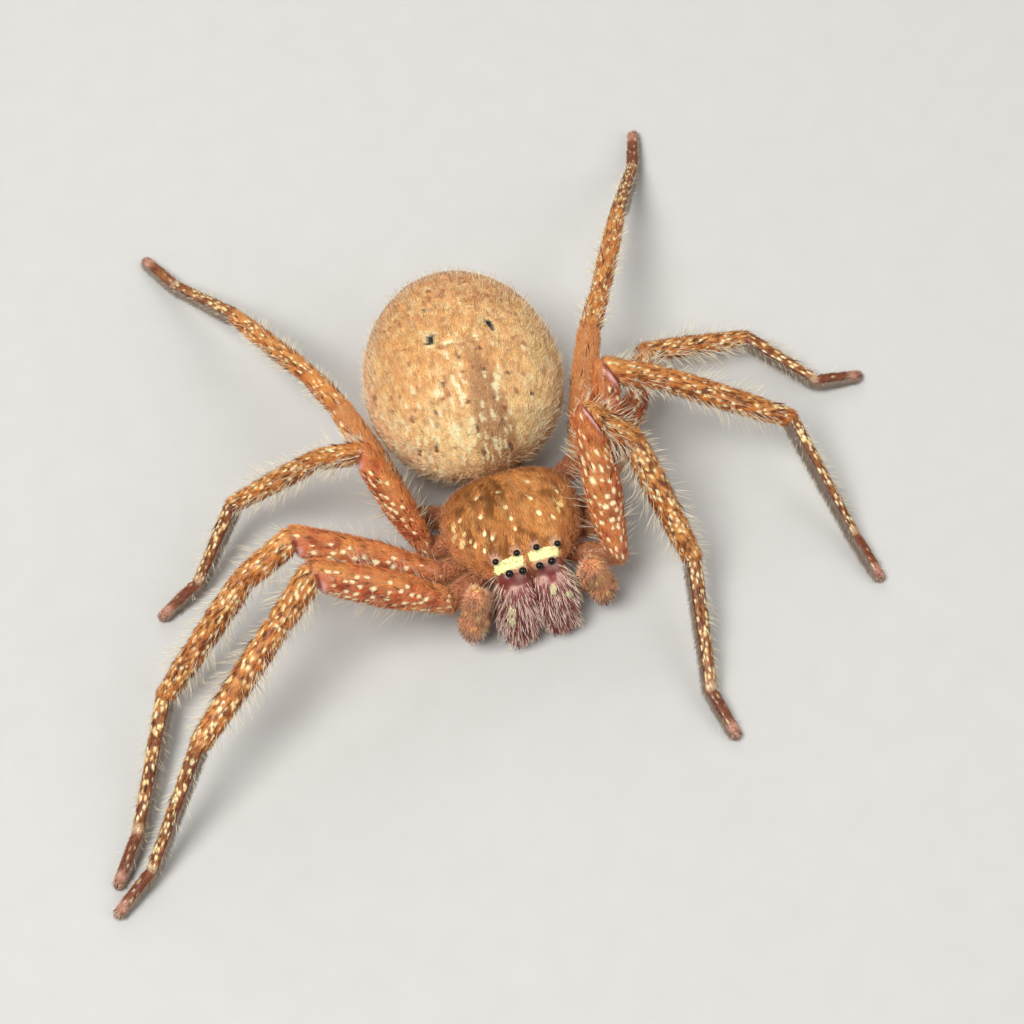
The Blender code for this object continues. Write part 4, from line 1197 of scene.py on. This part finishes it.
# Marks of the hind body in its own plan, as (x, y, half size along x, half size along y)
SIGILLA = ((-1.64, 0.94, 0.22, 0.3), (-1.45, 1.2, 0.14, 0.12), (-1.85, 0.8, 0.12, 0.1),
           (1.83, 1.25, 0.16, 0.22), (1.7, 1.5, 0.14, 0.14), (1.98, 0.95, 0.13, 0.2))
DARK_DOTS = (
    (-0.29, -0.48, 0.11, 0.13), (0.99, -0.28, 0.11, 0.13), (-0.2, -1.38, 0.12, 0.13),
    (0.91, -1.46, 0.1, 0.12),
    (-0.33, -3.01, 0.12, 0.14), (1.19, -2.99, 0.12, 0.15), (-0.05, -4.28, 0.11, 0.18),
    (1.4, -4.14, 0.1, 0.17),
    (0.08, -5.22, 0.14, 0.12), (1.65, -5.09, 0.15, 0.14), (-1.47, -1.79, 0.12, 0.13),
    (2.26, -1.74, 0.12, 0.13),
    (-2.15, -3.08, 0.12, 0.14), (-3.44, -2.93, 0.1, 0.14), (3.34, -2.8, 0.11, 0.14),
    (-1.58, 3.0, 0.11, 0.12),
    (-4.33, 3.58, 0.1, 0.12), (-3.37, -4.28, 0.12, 0.13), (-2.44, -4.54, 0.12, 0.13),
)
CREAM_PATCHES = (
    (-0.72, 0.5, 0.28, 0.13), (0.84, 0.63, 0.12, 0.28), (-0.88, -1.75, 0.1, 0.3), (-0.7, -2.3, 0.12, 0.35),
    (-0.55, -2.8, 0.12, 0.22), (1.75, -1.55, 0.1, 0.3), (1.5, -2.1, 0.14, 0.32), (1.32, -2.6, 0.1, 0.22),
    (-0.33, -0.95, 0.08, 0.16), (1.02, -0.75, 0.06, 0.1),
)


class AbdomenMarks:
    """The colours of the hind body by place in its own frame, for its skin and its coat alike."""

    def __init__(self):
        draw = np.random.default_rng(SEEDS["abdomen_marks"])
        self.flecks, self.dots = [], []
        for _ in range(360):
            x, y = draw.uniform(-5.6, 5.6), 2.0 - 7.6 * draw.random() ** 0.55
            wide = draw.uniform(0.05, 0.1)
            if draw.random() < 0.85 * min(1, max(0, (y + 4.2) / 2.4)):
                continue
            self.flecks.append((x, y, wide, wide * draw.uniform(1.2, 2.8)))
        for _ in range(75):
            size = draw.uniform(0.1, 0.15)
            self.dots.append((draw.uniform(-5.4, 5.4), draw.uniform(-5.0, 6.0), size, size * 1.2))

    def shares(self, local):
        """How far points lie inside the cream, rust and dark marks and the black sigilla."""
        x, y, z = local.T
        ragged = 0.1 * (mottle(local, 0.15) - 0.5)
        tables = (self.flecks + list(CREAM_PATCHES), self.dots, DARK_DOTS, SIGILLA)
        return [spots(table, x + ragged, y - ragged) * (z > -1.0) for table in tables]

    def spotted(self, local):
        return np.max(self.shares(local), axis=0)

    def tint(self, local):
        x, y, z = local.T
        blotch, fine = mottle(local, 1.3), mottle(local * (1, 0.6, 1) + 20, 0.22)
        grain = mottle(local * (1, 0.5, 1) + 33, 0.16)
        rear, front = ease(y, 1.0, 6.0), ease(-y, 1.0, 5.0)
        side = ease(np.hypot(x / ABDOMEN_HALF_WIDTH, y / 6.4), 0.8, 1.0)
        upper = z > -1.0
        middle = 0.52 - 0.1 * y
        band = 1 - ease(np.abs(x - middle) + 0.3 * (blotch - 0.5), 0.15 - 0.13 * y, 0.65 - 0.15 * y)
        band = band * (0.75 + 0.25 * ease(fine, 0.3, 0.6))
        cream, rust, dark, black = self.shares(local)
        pale = [(px, py, sx * 2.0, sy * 1.9) for px, py, sx, sy in SIGILLA]
        return layered(
            SAND,
            (SAND_ORANGE, 0.8 * rear),
            (SAND_PALE, 0.75 * front),
            (SAND_PINK, 0.8 * side),
            (SAND_PALE, 0.4 * ease(x, 0.8, 4.0) * (1 - rear)),
            (SAND_ORANGE, 0.5 * ease(blotch, 0.45, 0.85) * (1 - 0.5 * front)),
            (SAND_PALE, 0.6 * (1 - ease(fine, 0.25, 0.48))),
            (SAND_ORANGE * 0.72, 0.5 * ease(fine, 0.56, 0.8)),
            (SAND_ORANGE * 0.6, 0.6 * ease(grain, 0.58, 0.85)),
            (STRIPE, 0.95 * band * ease(-y, -0.6, 0.6) * upper),
            (SAND_PALE, 0.6 * spots(pale, x, y) * upper),
            (FLECK_PALE, (0.75 + 0.25 * mottle(local + 3, 0.5)) * cream),
            (RUST_DEEP, 0.65 * rust),
            (DOT_BROWN, 0.95 * dark),
            (SIGILLUM, black))


def make_abdomen():
    sides, rows = 170, 170
    turns = 2 * math.pi * np.arange(sides) / sides
    lies = np.sin(np.linspace(-math.pi / 2, math.pi / 2, rows + 2)[1:-1])
    lie = lies[:, None]
    length = np.where(lie < 0, ABDOMEN_FRONT, ABDOMEN_REAR) - BODY_COAT
    power = np.where(lie < 0, ABDOMEN_FRONT_POWER, ABDOMEN_REAR_POWER)
    girth = np.sqrt(1 - np.abs(lie) ** power)
    local = np.stack([(ABDOMEN_HALF_WIDTH - BODY_COAT) * girth * np.cos(turns), length * lie + 0 * turns,
                      (ABDOMEN_HALF_HEIGHT - BODY_COAT) * girth * np.sin(turns)], axis=-1)
    out = unit(local / np.array([1.3, 1.5, 1.0]))
    swell = 0.05 * (mottle(local, 1.1) - 0.5)
    upper = local[..., 2] > 0
    dimples = spots(SIGILLA, local[..., 0], local[..., 1]) * 0.14
    dimples = (dimples + 0.06 * spots(DARK_DOTS, local[..., 0], local[..., 1])) * upper
    local = local + out * (swell - dimples)[..., None]
    matrix, centre = abdomen_matrix(), np.array(ABDOMEN_CENTRE)
    poles = [np.array([0, -ABDOMEN_FRONT + BODY_COAT, 0]), np.array([0, ABDOMEN_REAR - BODY_COAT, 0])]
    skin = Skin(local @ matrix.T + centre, *(pole @ matrix.T + centre for pole in poles))
    marks = AbdomenMarks()
    tint = marks.tint(local.reshape(-1, 3)).reshape(local.shape)
    # Painted shade: the skin under the hair is darkened to 0.82 of its tint
    skin_piece("abdomen_skin", skin, tint * 0.82, np.zeros(local.shape[:2]), "abdomen",
               ["abdomen"])

    def own_frame(points):
        return (points - centre) @ matrix

    def lie_at(coat, root):
        """The hair lies from the head backwards, parted round both ends of the body."""
        slope = -0.9 * root[:, 1] / 6 * np.clip(root[:, 2] / 1.5, -1, 1)
        way = np.stack([0.03 * root[:, 0], np.ones(len(root)), slope], axis=1)
        swirl = np.stack([mottle(root + shift, 0.45) for shift in (70, 90, 110)], axis=1)
        return coat.lean(0.16, way + 1.3 * (swirl - 0.5)) @ matrix.T

    coat = Coat(skin, SEEDS["abdomen"])
    low = ease(local[..., 2], -3.5, 1.0)
    coat.sow("abdomen_short", 0.35 + 0.65 * low)
    root = own_frame(coat.root)
    tint = marks.tint(root)
    lie = lie_at(coat, root)
    way = unit(lie @ matrix)
    marked = marks.spotted(root) > 0.4
    shade = coat.shade(0.8, 1.18)
    length = np.where(marked, 0.15, 0.3) * coat.vary(0.65, 1.25)
    length = length * kept_length(lambda share: marks.spotted(root + way * (share * length)[:, None]))
    tint = tint * np.where(marked[:, None], 1.0, shade)
    tip = mix(tint, SAND_PALE, np.where(marked, 0.0, 0.15))
    lift = np.where(marked, coat.vary(0.4, 0.7), coat.vary(0.1, 0.3) + 0.3 * mottle(root + 7, 0.4))
    coat.grow("abdomen_short", lie, tint, tip, length=length, lift=lift)
    coat.piece("abdomen_coat", "coat", "abdomen")

    fringe = Coat(skin, SEEDS["fringe"])
    crown = ease(local[..., 2] / ABDOMEN_HALF_HEIGHT, 0.85, 0.5)
    fringe.sow("abdomen_fringe", (0.3 + 0.7 * low) * (0.2 + 0.8 * crown))
    root = own_frame(fringe.root)
    lie = lie_at(fringe, root)
    pale = mix(marks.tint(root), FRINGE, fringe.vary(0.25, 0.85))
    fringe.grow("abdomen_fringe", lie, pale)
    fringe.piece("abdomen_fringe", "bristle", "abdomen")


# Spinnerets, round the facet at the low rear end: turn in degrees, reach, radius and length
SPINNERETS = ((40, 0.42, 0.27, 1.05), (140, 0.42, 0.27, 1.06), (90, 0.05, 0.2, 0.6),
              (270, 0.45, 0.27, 0.95), (220, 0.45, 0.27, 0.96))


def small_limb(name, kind, points, forms, sides, step, depth, colour, look, nodes, seed, flecks=0.0):
    """A plain limb with a mottled skin and short hair of a kind along it."""
    skin = limb(points, forms, [1.0] * len(forms), sides, step, depth, SMALL_CREASE)
    skin.rings[..., 2] = np.maximum(skin.rings[..., 2], FOOT_FLOOR)

    def tint_at(points):
        return layered(colour,
                       (colour * 0.45, 0.7 * ease(mottle(points, 0.3), 0.45, 0.8)),
                       (RUST_GOLD, 0.4 * ease(mottle(points + 5, 0.5), 0.5, 0.9)),
                       (FLECK, flecks * ease(mottle(points + 15, 0.3), 0.74, 0.8)))

    tint = tint_at(skin.rings)
    skin_piece(f"{name}_skin", skin, tint, np.zeros(tint.shape[:2]), look, nodes)
    coat = Coat(skin, seed)
    coat.sow(kind, np.ones(tint.shape[:2]))
    tint = tint_at(coat.root) * coat.shade(0.6, 1.4)
    lie = coat.lean(0.25)
    ends = notes_at(skin, coat.places[0])
    length = HAIRS[kind][2] * coat.vary(0.6, 1.3) * (0.6 + 0.4 * ease(ends[2], 0.0, 1.0))
    coat.grow(kind, lie, tint, mix(tint, FRINGE, 0.25), length=length)
    return coat


def make_spinnerets():
    matrix, centre = abdomen_matrix(), np.array(ABDOMEN_CENTRE)
    girth = math.sqrt(1 - 0.9**ABDOMEN_REAR_POWER)
    face = np.array([0, 0.9 * ABDOMEN_REAR, -ABDOMEN_HALF_HEIGHT * girth]) @ matrix.T + centre
    out = unit(np.array([0, 0.89, -0.45]) @ matrix.T)
    turn = np.array(Vector(out).to_track_quat("Z", "Y").to_matrix())
    for number, (angle, reach, radius, length) in enumerate(((0, 0.0, 0.9, 0.35), *SPINNERETS)):
        x, y = math.cos(math.radians(angle)) * reach, math.sin(math.radians(angle)) * reach
        start = face + turn @ np.array([x, y, -0.25])
        end = face + turn @ np.array([x, y, max(0.1, length)])
        form = ((0.0, radius, radius), (0.7, radius * 0.92, radius * 0.92), (1.0, radius * 0.6, radius * 0.6))
        nodes = ["spinnerets"] if number == 0 else []
        coat = small_limb(f"spinneret_{number}", "spinneret", [start, end], [form], 20, 0.08, 0.02, SAND_ORANGE,
                          "abdomen", nodes, SEEDS["spinneret"] + number)
        coat.piece(f"spinneret_{number}_coat", "coat", "abdomen")


# Underside


def make_breast():
    """The shield between the legs, with the lip in front and the waist behind."""
    outline = [(0.0, -3.25), (1.2, -3.0), (2.0, -1.9), (2.25, -0.7), (2.0, 0.5), (1.1, 1.35), (0.0, 1.6)]
    outline += [(-x, y) for x, y in outline[-2:0:-1]]
    sides = 72
    shares = np.linspace(0, len(outline), sides, endpoint=False)
    corners = np.array(outline + outline[:1])
    plan = np.stack([np.interp(shares, np.arange(len(corners)), corners[:, k]) for k in (0, 1)], axis=1)
    padded = np.concatenate([plan[-4:], plan, plan[:4]])
    plan = np.stack([np.convolve(padded[:, k], np.ones(9) / 9, "valid") for k in (0, 1)], axis=1)
    middle = np.array([0, -0.8])
    rings = []
    for height, share in ((3.45, 0.3), (3.45, 0.8), (3.4, 0.95), (3.2, 1.0), (2.6, 1.0), (2.1, 0.98),
                            (1.8, 0.95),
                          (1.62, 0.88), (1.5, 0.76), (1.44, 0.6), (1.42, 0.45), (1.41, 0.3), (1.4, 0.12)):
        rings.append(np.column_stack([middle + (plan - middle) * share, np.full(sides, height)]))
    skin = Skin(rings, (0, -0.8, 3.45), (0, -0.8, 1.4))
    tint = mix(RUST_DEEP, COXA_BROWN, mottle(skin.rings, 0.6))
    skin_piece("breast_skin", skin, tint, np.full(tint.shape[:2], 0.2), "carapace", ["sternum"])
    coat = Coat(skin, SEEDS["breast"])
    coat.sow("breast", (skin.rings[..., 2] < 2.8) + FEW)
    tint = mix(RUST, COXA_BROWN, coat.vary(0, 1))
    coat.grow("breast", coat.lean(0.3, np.array([0, 1.0, 0])), tint)
    coat.piece("breast_coat", "coat", "breast")
    for name, ends, sizes, sides, step, depth, node in (
            ("lip", [(0, -3.85, 1.75), (0, -3.1, 1.75)], (0.26, 0.3, 0.36, 0.3), 20, 0.06, 0.02, "labium"),
            ("waist", [(0, 1.2, WAIST_HEIGHT), (0, 2.6, WAIST_HEIGHT)], (WAIST_RADIUS,) * 4, 24, 0.08, 0.03,
             "pedicel")):
        coat = small_limb(name, name, ends, [((0.0, *sizes[:2]), (1.0, *sizes[2:]))], sides, step, depth,
                          RUST_DEEP, "carapace", [node], SEEDS[name])
        coat.piece(f"{name}_coat", "coat", "breast")


# Jaws and feelers

# The yellow dots on the jaws
JAW_DOTS = ((-1.57, -5.56, 3.12), (-1.64, -5.91, 2.55), (0.9, -5.31, 3.58), (1.65, -5.56, 3.05))


def make_jaw(side_name):
    side = SIDES[side_name]
    top, tip = (np.array(p) * (side, 1, 1) for p in (JAW_TOP, JAW_TIP))
    skin = limb([top, tip], [JAW_FORM], [1.0], 64, 0.06, 0.03, 0.0)
    rings = skin.rings
    middle = side * rings.mean(1, keepdims=True)[..., 0]
    across = side * rings[..., 0]
    stretch = np.minimum(0.97 * middle / (middle - across.min(1, keepdims=True)), 1.45)
    inwards = (middle - across) * np.where(across < middle, stretch, 1.04)
    rings[..., 0] = side * np.maximum(middle - inwards, 0.03)
    skin = Skin(rings, *skin.poles)
    axis = unit(tip - top)
    front = unit(np.array([0, -0.76, 0.65]) - axis * (np.array([0, -0.76, 0.65]) @ axis))
    dots = [dot for dot in JAW_DOTS if dot[0] * side > 0]

    def tint_at(points):
        down = (points - top) @ axis
        made = layered(
            JAW_RED,
            (MAROON, 0.7 * ease(mottle(points, 0.3), 0.5, 0.8)),
            (JAW_PINK, 0.85 * ease(mottle(points + 3, 0.45), 0.35, 0.65)),
            (MAROON, 0.8 * (1 - ease(down + 0.25 * mottle(points, 0.3), 0.2, 0.4))))
        for dot in dots:
            ragged = 0.12 * (mottle(points + 8, 0.1) - 0.5)
            away = np.linalg.norm((points - dot) * (1, 1, 0.6), axis=-1) + ragged
            made = mix(made, DOT_YELLOW, 1 - ease(away, 0.15, 0.2))
        return made

    tint = tint_at(skin.rings)
    skin_piece(f"chelicera_{side_name}_skin", skin, tint, np.full(tint.shape[:2], 0.55), "jaw",
               [f"chelicera_{side_name}"])
    coat = Coat(skin, SEEDS["jaw"] + side)
    inner = side * skin.rings[..., 0] < 0.12
    weight = ease(skin.normals @ front, -0.6, 0.4) * (1 - 0.7 * inner)
    share = ((skin.rings - top) @ axis) / np.linalg.norm(tip - top)
    outer = np.array([side, 0, 0])
    for dot, above in itertools.product(dots, (0.0, 0.3, 0.6)):
        weight = weight * ease(np.linalg.norm(skin.rings - dot + axis * above, axis=-1), 0.12, 0.26)

    # Short maroon hair, then long bristles, most of them pinkish white and some the colour of the jaw
    coat.sow("jaw_short", weight * ease(share, 0.0, 0.45) + FEW)
    lie = coat.lean(0.25, axis)
    low = mix(JAW_RED, JAW_PINK, coat.vary(0.0, 0.9)) * coat.shade(0.75, 1.3)
    coat.grow("jaw_short", lie, low)
    coat.sow("jaw_bristle", weight * ease(share, -0.1, 0.6) + FEW)
    place = ((coat.root - top) @ axis) / np.linalg.norm(tip - top)
    lie = coat.lean(0.13, axis + outer * (0.2 * ease(side * coat.root[:, 0], 0.9, 2.2))[:, None])
    pale = mix(BRISTLE, JAW_PINK, coat.vary(0.0, 0.8))
    pale = np.where(coat.shade(0, 1) < 0.36, mix(MAROON, JAW_RED, 0.4), pale)
    length = (0.45 + 0.45 * ease(place, 0.1, 0.5) - 0.25 * ease(place, 0.65, 1.0)) * coat.vary(0.7, 1.2)
    coat.grow("jaw_bristle", lie, mix(pale, JAW_RED, 0.35), pale, length=length)
    coat.sow("jaw_white", weight * ease(side * skin.rings[..., 0], 1.2, 2.0) + FEW)
    lie = coat.lean(0.2, axis * 0.8 + outer * 0.45)
    white = FRINGE * coat.shade(0.85, 1.05)
    coat.grow("jaw_white", lie, white)

    # Small yellow tufts
    for dot in dots:
        near = np.linalg.norm((skin.rings - dot) * (1, 1, 0.6), axis=-1)
        coat.sow("jaw_dot", 1 - ease(near, 0.13, 0.2) + NONE)
        yellow = FLECK_PALE * coat.shade(0.9, 1.05)
        coat.grow("jaw_dot", coat.lean(0.2, axis), yellow)
    coat.piece(f"chelicera_{side_name}_bristles", "bristle", "jaw")


def make_palp(side_name):
    side = SIDES[side_name]
    points = [np.array(p) * (side, 1, 1) for p in PALP_JOINTS[side_name]]
    nodes = [f"palp_base_{side_name}", f"palp_{side_name}"]
    coat = small_limb(f"palp_{side_name}", "palp", points, PALP_FORMS, 40, 0.08, 0.02, PALP_TAN, "leg",
                      nodes, SEEDS["palp"] + side, flecks=0.95)
    number, start, _ = coat.skin.notes.T[:, :, None]
    coat.sow("palp_bristle", (number == 3) * np.ones((1, coat.skin.sides)) * ease(start, 0.2, 1.0) + FEW)
    lie = coat.lean(0.2)
    pale = mix(BRISTLE, PALP_TAN, coat.vary(0.0, 0.6))
    pale = np.where(coat.shade(0, 1) < 0.35, RUST_DEEP, pale)
    coat.grow("palp_bristle", lie, pale * 0.7, pale)
    coat.piece(f"palp_{side_name}_coat", "coat", "leg")


# Stage


def make_camera():
    """The photo's view: the same turn, height and lens, with the image taken as 1024 x 1024."""
    azimuth, elevation, roll = (math.radians(a) for a in (CAMERA_AZIMUTH, CAMERA_ELEVATION, CAMERA_ROLL))
    back = np.array([math.sin(azimuth) * math.cos(elevation), -math.cos(azimuth) * math.cos(elevation),
                     math.sin(elevation)])
    right = np.array([math.cos(azimuth), math.sin(azimuth), 0])
    up = np.cross(back, right)
    right, up = (math.cos(roll) * right + math.sin(roll) * up, -math.sin(roll) * right + math.cos(roll) * up)
    stand = placed(np.array(CAMERA_TARGET) + CAMERA_DISTANCE * back)
    deselect()
    bpy.ops.object.camera_add()
    camera = bpy.context.object
    camera.name = "photo_camera"
    turn = Matrix(np.column_stack([right, up, back]).tolist()).to_4x4()
    camera.matrix_world = Matrix.Translation(stand) @ turn
    camera.data.lens = CAMERA_LENS
    camera.data.sensor_width = 36.0
    camera.data.clip_start = 0.005
    camera.data.clip_end = 5.0
    bpy.context.scene.camera = camera


def make_stage():
    deselect()
    bpy.ops.mesh.primitive_plane_add(size=3.0, location=(0, 0, 0))
    floor = bpy.context.object
    floor.name = "stage_floor"
    floor.data.materials.append(floor_paper("pale studio paper"))
    world = bpy.data.worlds.new("soft room")
    world.use_nodes = True
    sky = world.node_tree.nodes["Background"]
    sky.inputs["Color"].default_value = (*linear("#EEF0F2"), 1)
    sky.inputs["Strength"].default_value = 0.38
    bpy.context.scene.world = world
    bpy.context.scene.view_settings.view_transform = "Standard"
    for name, place, size, power in (("key_light", (-0.16, -0.05, 0.34), 0.2, 1.5),
                                     ("fill_light", (0.3, -0.2, 0.25), 0.3, 0.62),
                                     ("rear_light", (0.05, 0.35, 0.22), 0.25, 0.45)):
        bpy.ops.object.light_add(type="AREA", location=place)
        light = bpy.context.object
        light.name = name
        light.data.size = size
        light.data.energy = power
        light.rotation_mode = "QUATERNION"
        light.rotation_quaternion = Vector(place).to_track_quat("Z", "Y")


make_camera()
make_stage()
make_carapace()
make_bars()
make_eyes()
make_abdomen()
make_spinnerets()
make_breast()
for side_name in SIDES:
    make_jaw(side_name)
    make_palp(side_name)
    for pair in LEG_LENGTHS:
        make_leg(side_name, pair)

for fang in ("fang_left", "fang_right"):
    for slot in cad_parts[fang].material_slots:
        slot.material = LOOKS["horn"]
